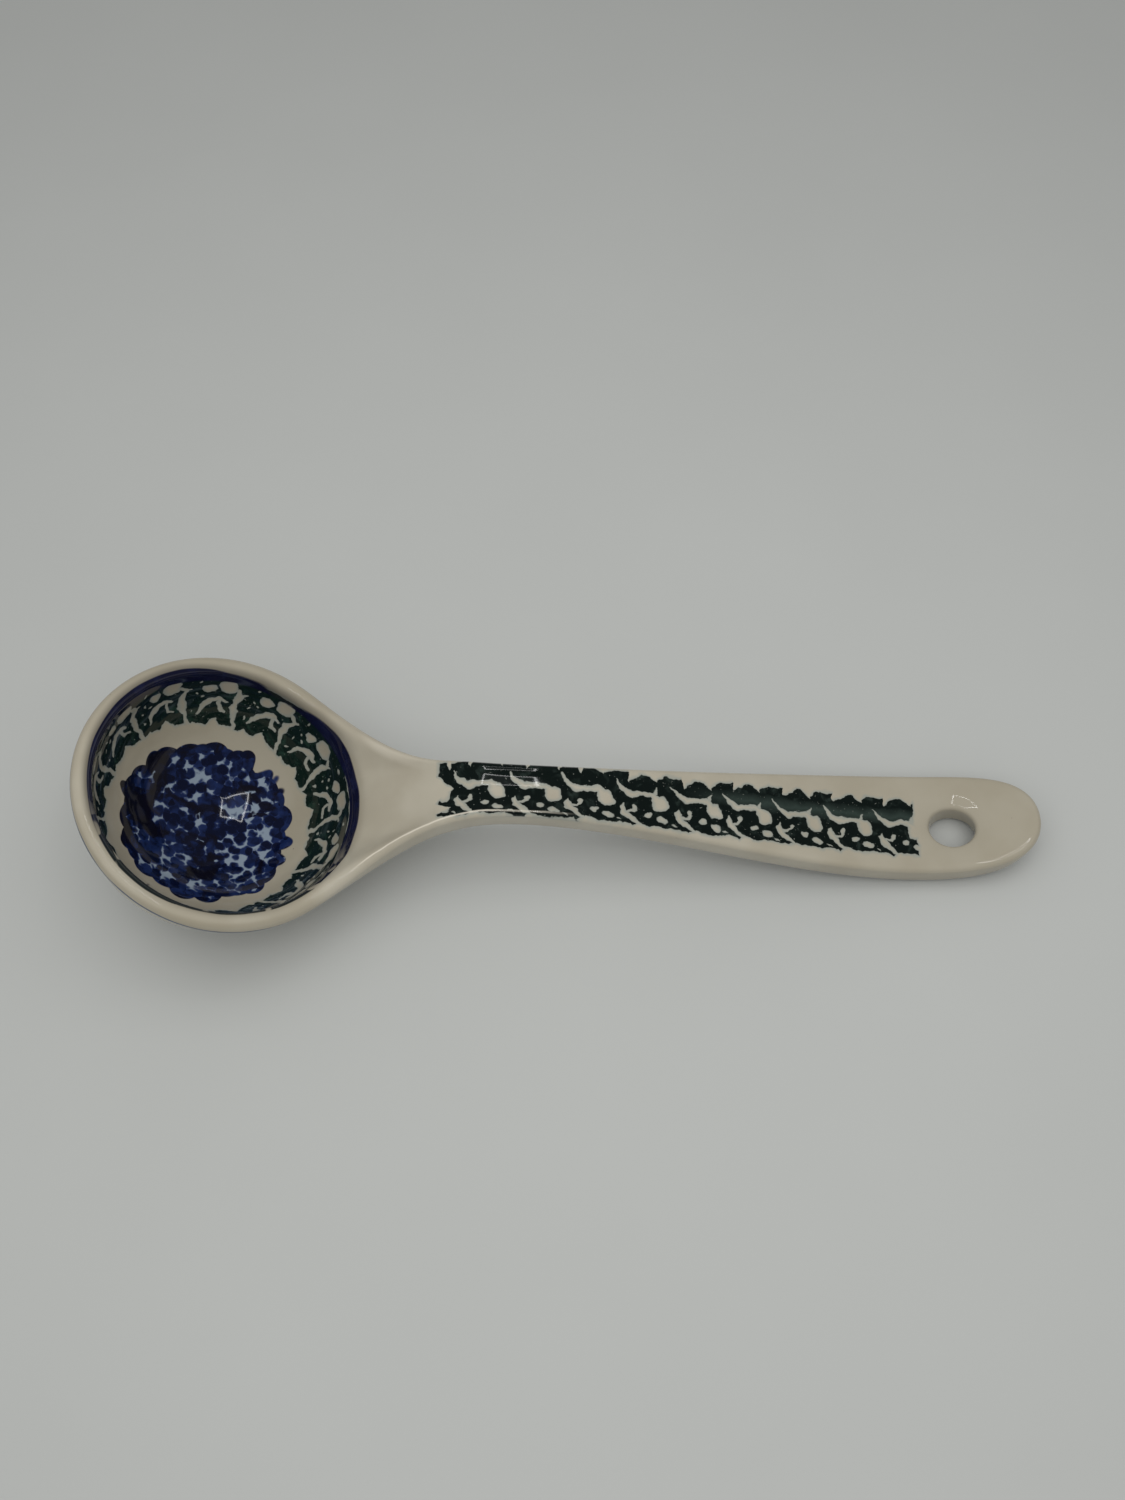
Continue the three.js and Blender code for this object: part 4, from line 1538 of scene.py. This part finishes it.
@dataclass(frozen=True)
class Medallion:
    """The round of dabbed blue on the floor of the bowl, in millimetres."""

    navy: Colour = ink(9, 16, 42)
    blue: Colour = ink(32, 49, 96)
    soot: Colour = ink(15, 13, 22)
    pale: Colour = ink(137, 151, 166)
    radius: float = 20.8
    dab: float = 2.3
    grit: Span = (0.8, 0.4)
    sway: Span = (2.6, 1.5)
    lobe: float = 4.6
    lobe_middle: float = 0.45
    lobe_reach: float = 4.2
    bulge_grain: float = 7.0
    bulge_reach: float = 2.0
    floor_depth: float = 8.0
    floor_sharpness: float = 3.0
    drift: float = 0.005
    drift_middle: float = -4.0
    soot_grain: float = 6.5
    soot_level: Span = (0.55, 0.66)
    soot_share: float = 0.85
    soot_cover: float = 0.25
    gap_grain: float = 4.2
    gap_middle: float = 0.53
    gap_chance: float = 0.2
    gap_fringe: Span = (-0.16, 0.02)
    gap_fringe_share: float = 0.75
    gap_edge: Span = (-0.02, 0.14)
    hem: Span = (0.6, 2.8)
    hem_cover: float = 0.3
    wash_grain: float = 2.4
    wash_level: Span = (0.42, 0.7)
    wash_share: float = 0.7

    def lay(self, sheet: NodeSheet, ground: Value, place: BowlPlace) -> Value:
        """Dabs the medallion on a ground.

        Args:
            sheet: Nodes to add to.
            ground: Colour under it.
            place: Place in the bowl.

        Returns:
            The colour with the medallion.
        """
        point = sheet.place()
        lobes, _ = sheet.cells(point, self.lobe)
        bulge = (sheet.noise(point, self.bulge_grain, 0.0) - 0.5) * self.bulge_reach
        edge = self.radius + (self.lobe_middle - lobes) * self.lobe_reach + bulge - place.radius
        floor = (place.height * -1.0 - self.floor_depth) * self.floor_sharpness
        cover = sheet.step(edge.least(place.inside * CRISP).least(floor), *PAINT_EDGE)
        return sheet.mix(cover, ground, self._dabbed(sheet, edge))

    def _dabbed(self, sheet: NodeSheet, edge: Value) -> Value:
        """Mixes the dabs, the soot among them and the pale gaps between them.

        Args:
            sheet: Nodes to add to.
            edge: Distance inside the medallion's edge, in millimetres.

        Returns:
            The colour.
        """
        point = sheet.place()
        stirred = sheet.wobble(sheet.wobble(point, *self.grit), *self.sway)
        reach, chances = sheet.cells(stirred, self.dab)
        tone, chance, _ = sheet.split(chances)
        drift = (sheet.split(point)[0] - self.drift_middle) * self.drift
        soot = sheet.step(sheet.noise(point, self.soot_grain, 3.0, 0.6) - drift, *self.soot_level)
        gaps = reach - chance * self.gap_chance + (sheet.noise(point, self.gap_grain, 2.0) - 0.5)
        gaps = gaps - self.gap_middle - soot * self.soot_cover + drift
        gaps = gaps - (1.0 - sheet.step(edge, *self.hem)) * self.hem_cover
        wash = sheet.noise(point, self.wash_grain, 3.0, 0.5)
        wash = sheet.step(wash * self.wash_share + tone * (1 - self.wash_share), *self.wash_level)
        colour = sheet.mix(wash * self.wash_share, self.navy, self.blue)
        colour = sheet.mix(sheet.step(gaps, *self.gap_fringe) * self.gap_fringe_share, colour, self.blue)
        colour = sheet.mix(soot * self.soot_share, colour, self.soot)
        return sheet.mix(sheet.step(gaps, *self.gap_edge), colour, self.pale)


@dataclass(frozen=True)
class BowlFinish:
    """Glaze of the bowl with its lines, border and medallion, painted shade and a painted ridge highlight,
    and the wiped foot, in millimetres.
    """

    glaze: GlazedClay = GlazedClay()
    ridge: PaintedRidgeHighlight = PaintedRidgeHighlight()
    stamp: StampColour = StampColour(ink(18, 32, 28), ink(52, 78, 66))
    border: BowlBorder = BowlBorder()
    line: RimLine = RimLine()
    medallion: Medallion = Medallion()
    grit: Span = (0.6, 0.35)
    sway: Span = (2.6, 1.9)
    # painted shade as tan: on the rim roll, lighter on the up-facing near-left crest, and inside the bowl
    rim_painted_shade: float = 0.55
    rim_reach: Span = (2.2, 4.5)
    crest_heading: float = -135.0
    crest_begin: Span = (0.1, 0.6)
    crest_level: Span = (0.72, 0.9)
    crest_painted_light: float = 0.4
    inner_painted_shade: float = 0.45
    inner_shade_begin: Span = (0.2, 1.0)
    foot_grain: float = 2.0
    foot_ragged: float = 0.3
    foot_edge: Span = (-0.12, 0.0)
    foot_rough: float = 0.55

    def material(self, form: LadleForm) -> bpy.types.Material:
        """Makes the material of the bowl.

        Args:
            form: Sizes of the ladle.

        Returns:
            The material.
        """
        sheet = NodeSheet("glazed bowl")
        moved = sheet.wobble(sheet.wobble(sheet.place(), *self.grit), *self.sway)
        place = BowlPlace.of(sheet, form, sheet.place())
        # tan painted as shade on the rim and inside the bowl
        colour = self.glaze.colour(sheet, self._painted_shade(sheet, form, place))
        colour = self.stamp.lay(sheet, colour, self.border.inside(sheet, BowlPlace.of(sheet, form, moved)))
        colour = self.medallion.lay(sheet, colour, place)
        # the rim lines with the painted shade above them, then the painted ridge highlight
        colour = self.ridge.lay(sheet, self.line.lay(sheet, form, colour))
        height = sheet.split(sheet.place())[2]
        ragged = sheet.noise(sheet.place(), self.foot_grain, 2.0) * self.foot_ragged
        wiped = sheet.step(ragged - height, *self.foot_edge)
        colour = sheet.mix(wiped, colour, self.glaze.bare_clay)
        return sheet.finish(self.glaze.shader(sheet, colour, wiped * self.foot_rough))

    def _painted_shade(self, sheet: NodeSheet, form: LadleForm, place: BowlPlace) -> Value:
        """Finds the painted shade, as a share of tan: on the rim roll, taken back where the near-left
        crest faces up as a painted lighter top, and inside the bowl.

        Args:
            sheet: Nodes to add to.
            form: Sizes of the ladle.
            place: Place in the bowl.

        Returns:
            The share of tan painted as shade.
        """
        out = place.radius - form.rim_radius
        roll = (out * out + place.height * place.height).root()
        crest = sheet.step(place.towards(self.crest_heading), *self.crest_begin)
        crest = crest * sheet.step(sheet.facing_up(), *self.crest_level)
        # painted shade on the rim roll, taken back on the up-facing crest as a painted lighter top
        rim = (1.0 - sheet.step(roll, *self.rim_reach)) * (self.rim_painted_shade - crest * self.crest_painted_light)
        # painted shade inside the bowl
        return rim.most(sheet.step(place.inside, *self.inner_shade_begin) * self.inner_painted_shade)


@dataclass(frozen=True)
class HandleFinish:
    """Glaze of the handle with its stamped strip and a painted ridge highlight, in millimetres."""

    glaze: GlazedClay = GlazedClay()
    ridge: PaintedRidgeHighlight = PaintedRidgeHighlight()
    stamp: StampColour = StampColour()
    strip: HandleStrip = HandleStrip()
    tan: float = 0.4
    tan_lead: float = 90.0
    tan_past: float = 10.0

    def material(self, form: LadleForm) -> bpy.types.Material:
        """Makes the material of the handle.

        Args:
            form: Sizes of the ladle.

        Returns:
            The material.
        """
        sheet = NodeSheet("glazed handle")
        along = sheet.split(sheet.place())[0]
        tan_and_painted_shade = sheet.step(along, form.hole_x - self.tan_lead, form.hole_x + self.tan_past) * self.tan
        colour = self.strip.lay(sheet, form, self.stamp, self.glaze.colour(sheet, tan_and_painted_shade))
        # painted ridge highlight laid over the strip
        return sheet.finish(self.glaze.shader(sheet, self.ridge.lay(sheet, colour)))


@dataclass(frozen=True)
class PaperFinish:
    """Pale grey studio paper."""

    pale: Colour = ink(188, 190, 187)
    shade: Colour = ink(184, 186, 183)
    cloud_grain: float = 60.0
    roughness: float = 0.85
    sheen: float = 0.2

    def material(self) -> bpy.types.Material:
        """Makes the material of the floor.

        Returns:
            The material.
        """
        sheet = NodeSheet("studio paper")
        clouds = sheet.noise(sheet.place(), self.cloud_grain, 3.0)
        return sheet.finish(sheet.node("BsdfPrincipled", inputs={
            "Base Color": sheet.mix(clouds, self.shade, self.pale), "Roughness": self.roughness,
            "Specular IOR Level": self.sheen}))


def choose(*objects: bpy.types.Object) -> None:
    """Selects some objects and makes the first of them the active one."""
    bpy.ops.object.select_all(action="DESELECT")
    for item in objects:
        item.select_set(True)
    bpy.context.view_layer.objects.active = objects[0]


@dataclass
class Ladle:
    """The whole ladle: bowl, slip joint and handle, cut from one smooth form."""

    form: LadleForm = field(default_factory=LadleForm)
    smoothing: int = 2
    foot_softness: float = 0.3
    crease: float = math.radians(50)

    def _join(self, parts: Sequence[bpy.types.Object]) -> bpy.types.Object:
        """Joins the cages into one closed mesh.

        Args:
            parts: The cages, which meet at their ends.

        Returns:
            The first of them, with the others in it.
        """
        choose(*parts)
        bpy.ops.object.join()
        bpy.ops.object.mode_set(mode="EDIT")
        bpy.ops.mesh.select_all(action="SELECT")
        bpy.ops.mesh.remove_doubles(threshold=MERGE_DISTANCE)
        bpy.ops.mesh.normals_make_consistent(inside=False)
        bpy.ops.object.mode_set(mode="OBJECT")
        return parts[0]

    def _smooth(self, whole: bpy.types.Object) -> None:
        """Subdivides the form smoothly, flattens the foot under the bowl and notes the normals.

        Args:
            whole: The joined form.
        """
        modifier = whole.modifiers.new("smooth clay", "SUBSURF")
        modifier.levels = self.smoothing
        modifier.render_levels = self.smoothing
        bpy.ops.object.modifier_apply(modifier=modifier.name)
        soft = self.foot_softness * MM
        for vertex in whole.data.vertices:
            if vertex.co.x < self.form.joint.x * MM:
                height = vertex.co.z
                vertex.co.z = (height + math.sqrt(height * height + soft * soft / 4)) / 2
        normals = whole.data.attributes.new("whole_normal", "FLOAT_VECTOR", "POINT")
        whole.data.update()
        for vertex, normal in zip(whole.data.vertices, normals.data):
            normal.vector = vertex.normal

    def _separate(self, whole: bpy.types.Object, start: float, name: str) -> bpy.types.Object:
        """Cuts off what lies past a place along the handle.

        Args:
            whole: Object to cut.
            start: Place of the cut, in millimetres.
            name: Name of the new piece.

        Returns:
            The new piece.
        """
        choose(whole)
        bpy.ops.object.mode_set(mode="EDIT")
        bpy.ops.mesh.select_mode(type="FACE")
        cage = bmesh.from_edit_mesh(whole.data)
        for face in cage.faces:
            face.select = face.calc_center_median().x > start * MM
        cage.select_flush(False)
        bmesh.update_edit_mesh(whole.data)
        bpy.ops.mesh.separate(type="SELECTED")
        bpy.ops.object.mode_set(mode="OBJECT")
        piece = next(item for item in bpy.context.selected_objects if item is not whole)
        piece.name = name
        return piece

    def _cap(self, piece: bpy.types.Object) -> None:
        """Closes the cut ends of a piece and keeps the smooth shading across the cuts.

        Args:
            piece: The piece, with the normals of the whole form noted on it.
        """
        choose(piece)
        bpy.ops.object.mode_set(mode="EDIT")
        bpy.ops.mesh.select_mode(type="EDGE")
        middle = (self.form.joint.x + self.form.slip_thickness / 2) * MM
        for side in (-1, 1):
            bpy.ops.mesh.select_all(action="DESELECT")
            cage = bmesh.from_edit_mesh(piece.data)
            for edge in cage.edges:
                if edge.is_boundary and (edge.verts[0].co.x - middle) * side > 0:
                    edge.select = True
            bmesh.update_edit_mesh(piece.data)
            if any(edge.select for edge in cage.edges):
                bpy.ops.mesh.edge_face_add()
        bpy.ops.mesh.select_all(action="SELECT")
        bpy.ops.mesh.normals_make_consistent(inside=False)
        bpy.ops.object.mode_set(mode="OBJECT")
        bpy.ops.object.shade_smooth_by_angle(angle=self.crease)
        mesh = piece.data
        kept = [tuple(item.vector) for item in mesh.attributes["whole_normal"].data]
        normals = [(0.0, 0.0, 0.0)] * len(mesh.loops)
        for face in mesh.polygons:
            for corner in face.loop_indices:
                cap = len(face.vertices) > QUAD_CORNERS
                normals[corner] = tuple(face.normal) if cap else kept[mesh.loops[corner].vertex_index]
        mesh.normals_split_custom_set(normals)
        mesh.attributes.remove(mesh.attributes["whole_normal"])

    def build(self) -> None:
        """Models the ladle, cuts it into its pieces and dresses them."""
        handle_shape = HandleShape(self.form)
        parts = [BowlShape(self.form).model(), handle_shape.model_shaft(), handle_shape.model_end()]
        bowl = self._join(parts)
        bowl.name = "glazed_bowl"
        self._smooth(bowl)
        joint = self._separate(bowl, self.form.joint.x, "luted_joint")
        handle = self._separate(joint, self.form.joint.x + self.form.slip_thickness, "glazed_handle")
        handle_material = HandleFinish().material(self.form)
        dressed = (
            (bowl, BowlFinish().material(self.form), "glaze",
             ("bowl", "rim_line", "bowl_border", "bowl_medallion")),
            (joint, handle_material, "slip", ("luting_slip",)),
            (handle, handle_material, "glaze", ("handle", "handle_border")),
        )
        for piece, material, slot, nodes in dressed:
            self._cap(piece)
            piece.data.materials.clear()
            piece.data.materials.append(material)
            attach(piece, "root")
            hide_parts(*nodes)
            LOG.info("%s: %d faces", piece.name, len(piece.data.polygons))


@dataclass
class Studio:
    """Floor, camera and lights, in metres."""

    floor_size: float = 4.0
    floor_drop: float = 0.0001
    eye: Vector = field(default_factory=lambda: Vector((0.07440, -0.12121, 0.29059)))
    target: Vector = field(default_factory=lambda: Vector((0.07601, 0.02496, 0.0)))
    lens: float = 30.0
    sensor: float = 36.0
    nearest: float = 0.01
    frame_middle: Vector = field(default_factory=lambda: Vector((0.1166, -0.0338, 0.592)))
    frame_size: float = 0.235
    frame_strip: float = 0.009
    frame_power: float = 0.27
    frame_glow: float = 0.03
    panel_place: Vector = field(default_factory=lambda: Vector((0.07, -0.05, 0.37)))
    panel_target: Vector = field(default_factory=lambda: Vector((0.07, 0.0, 0.02)))
    panel_size: Span = (0.5, 0.42)
    panel_power: float = 0.8
    sky: float = 0.48
    sky_gloss: float = 0.16

    def _lay_floor(self) -> None:
        """Lays the paper that the ladle stands on."""
        bpy.ops.object.select_all(action="DESELECT")
        bpy.ops.mesh.primitive_plane_add(size=self.floor_size, location=(0.0, 0.0, -self.floor_drop))
        floor = bpy.context.object
        floor.name = "studio_floor"
        bpy.ops.object.transform_apply(location=True)
        floor.data.materials.append(PaperFinish().material())
        LOG.info("floor laid")

    def _lamp(self, name: str, place: Vector, target: Vector, size: Span,
              power: float) -> bpy.types.Object:
        """Hangs one rectangular lamp.

        Args:
            name: Name of the lamp.
            place: Where it hangs, in metres.
            target: The point that it faces, in metres.
            size: Its width and height, in metres.
            power: Its power, in watts.

        Returns:
            The lamp.
        """
        light = bpy.data.lights.new(name, "AREA")
        light.shape = "RECTANGLE"
        light.size, light.size_y = size
        light.energy = power
        lamp = bpy.data.objects.new(name, light)
        lamp.location = place
        lamp.rotation_euler = (target - place).to_track_quat("-Z", "Y").to_euler()
        bpy.context.scene.collection.objects.link(lamp)
        return lamp

    def _light(self) -> None:
        """Hangs the square of strip lamps with its faint glow, and the soft panel overhead."""
        half = self.frame_size / 2
        down = Vector((0.0, 0.0, -1.0))
        long_strip = (self.frame_size, self.frame_strip)
        wide_strip = (self.frame_strip, self.frame_size)
        strips = (
            ("strip_back", Vector((0.0, half, 0.0)), long_strip),
            ("strip_front", Vector((0.0, -half, 0.0)), long_strip),
            ("strip_left", Vector((-half, 0.0, 0.0)), wide_strip),
            ("strip_right", Vector((half, 0.0, 0.0)), wide_strip),
        )
        for name, offset, size in strips:
            place = self.frame_middle + offset
            self._lamp(name, place, place + down, size, self.frame_power / len(strips))
        square = (self.frame_size, self.frame_size)
        self._lamp("frame_glow", self.frame_middle, self.frame_middle + down, square, self.frame_glow)
        panel = self._lamp("soft_panel", self.panel_place, self.panel_target, self.panel_size,
                           self.panel_power)
        panel.visible_glossy = False

    def _set_sky(self) -> None:
        """Sets an even white sky that is darker in mirror images."""
        world = bpy.data.worlds.new("studio")
        world.use_nodes = True
        nodes, links = world.node_tree.nodes, world.node_tree.links
        rays = nodes.new("ShaderNodeLightPath")
        level = nodes.new("ShaderNodeMapRange")
        level.inputs["To Min"].default_value = self.sky
        level.inputs["To Max"].default_value = self.sky * self.sky_gloss
        links.new(rays.outputs["Is Glossy Ray"], level.inputs["Value"])
        links.new(level.outputs["Result"], nodes["Background"].inputs["Strength"])
        nodes["Background"].inputs["Color"].default_value = (1.0, 1.0, 1.0, 1.0)
        bpy.context.scene.world = world

    def _camera(self) -> None:
        """Sets the camera where the photograph was taken from."""
        camera = bpy.data.cameras.new("viewpoint")
        camera.lens = self.lens
        camera.sensor_width = self.sensor
        camera.clip_start = self.nearest
        viewpoint = bpy.data.objects.new("viewpoint", camera)
        viewpoint.location = self.eye
        viewpoint.rotation_euler = (self.target - self.eye).to_track_quat("-Z", "Y").to_euler()
        bpy.context.scene.collection.objects.link(viewpoint)
        bpy.context.scene.camera = viewpoint
        bpy.context.scene.view_settings.view_transform = "Standard"

    def build(self) -> None:
        """Builds the floor, the lights, the sky and the camera."""
        self._lay_floor()
        self._light()
        self._set_sky()
        self._camera()


def main() -> None:
    """Builds the ladle and the studio."""
    logging.basicConfig(level=logging.INFO, format="%(name)s: %(message)s")
    bpy.ops.object.select_all(action="DESELECT")
    Ladle().build()
    Studio().build()


if __name__ == "__main__":
    main()
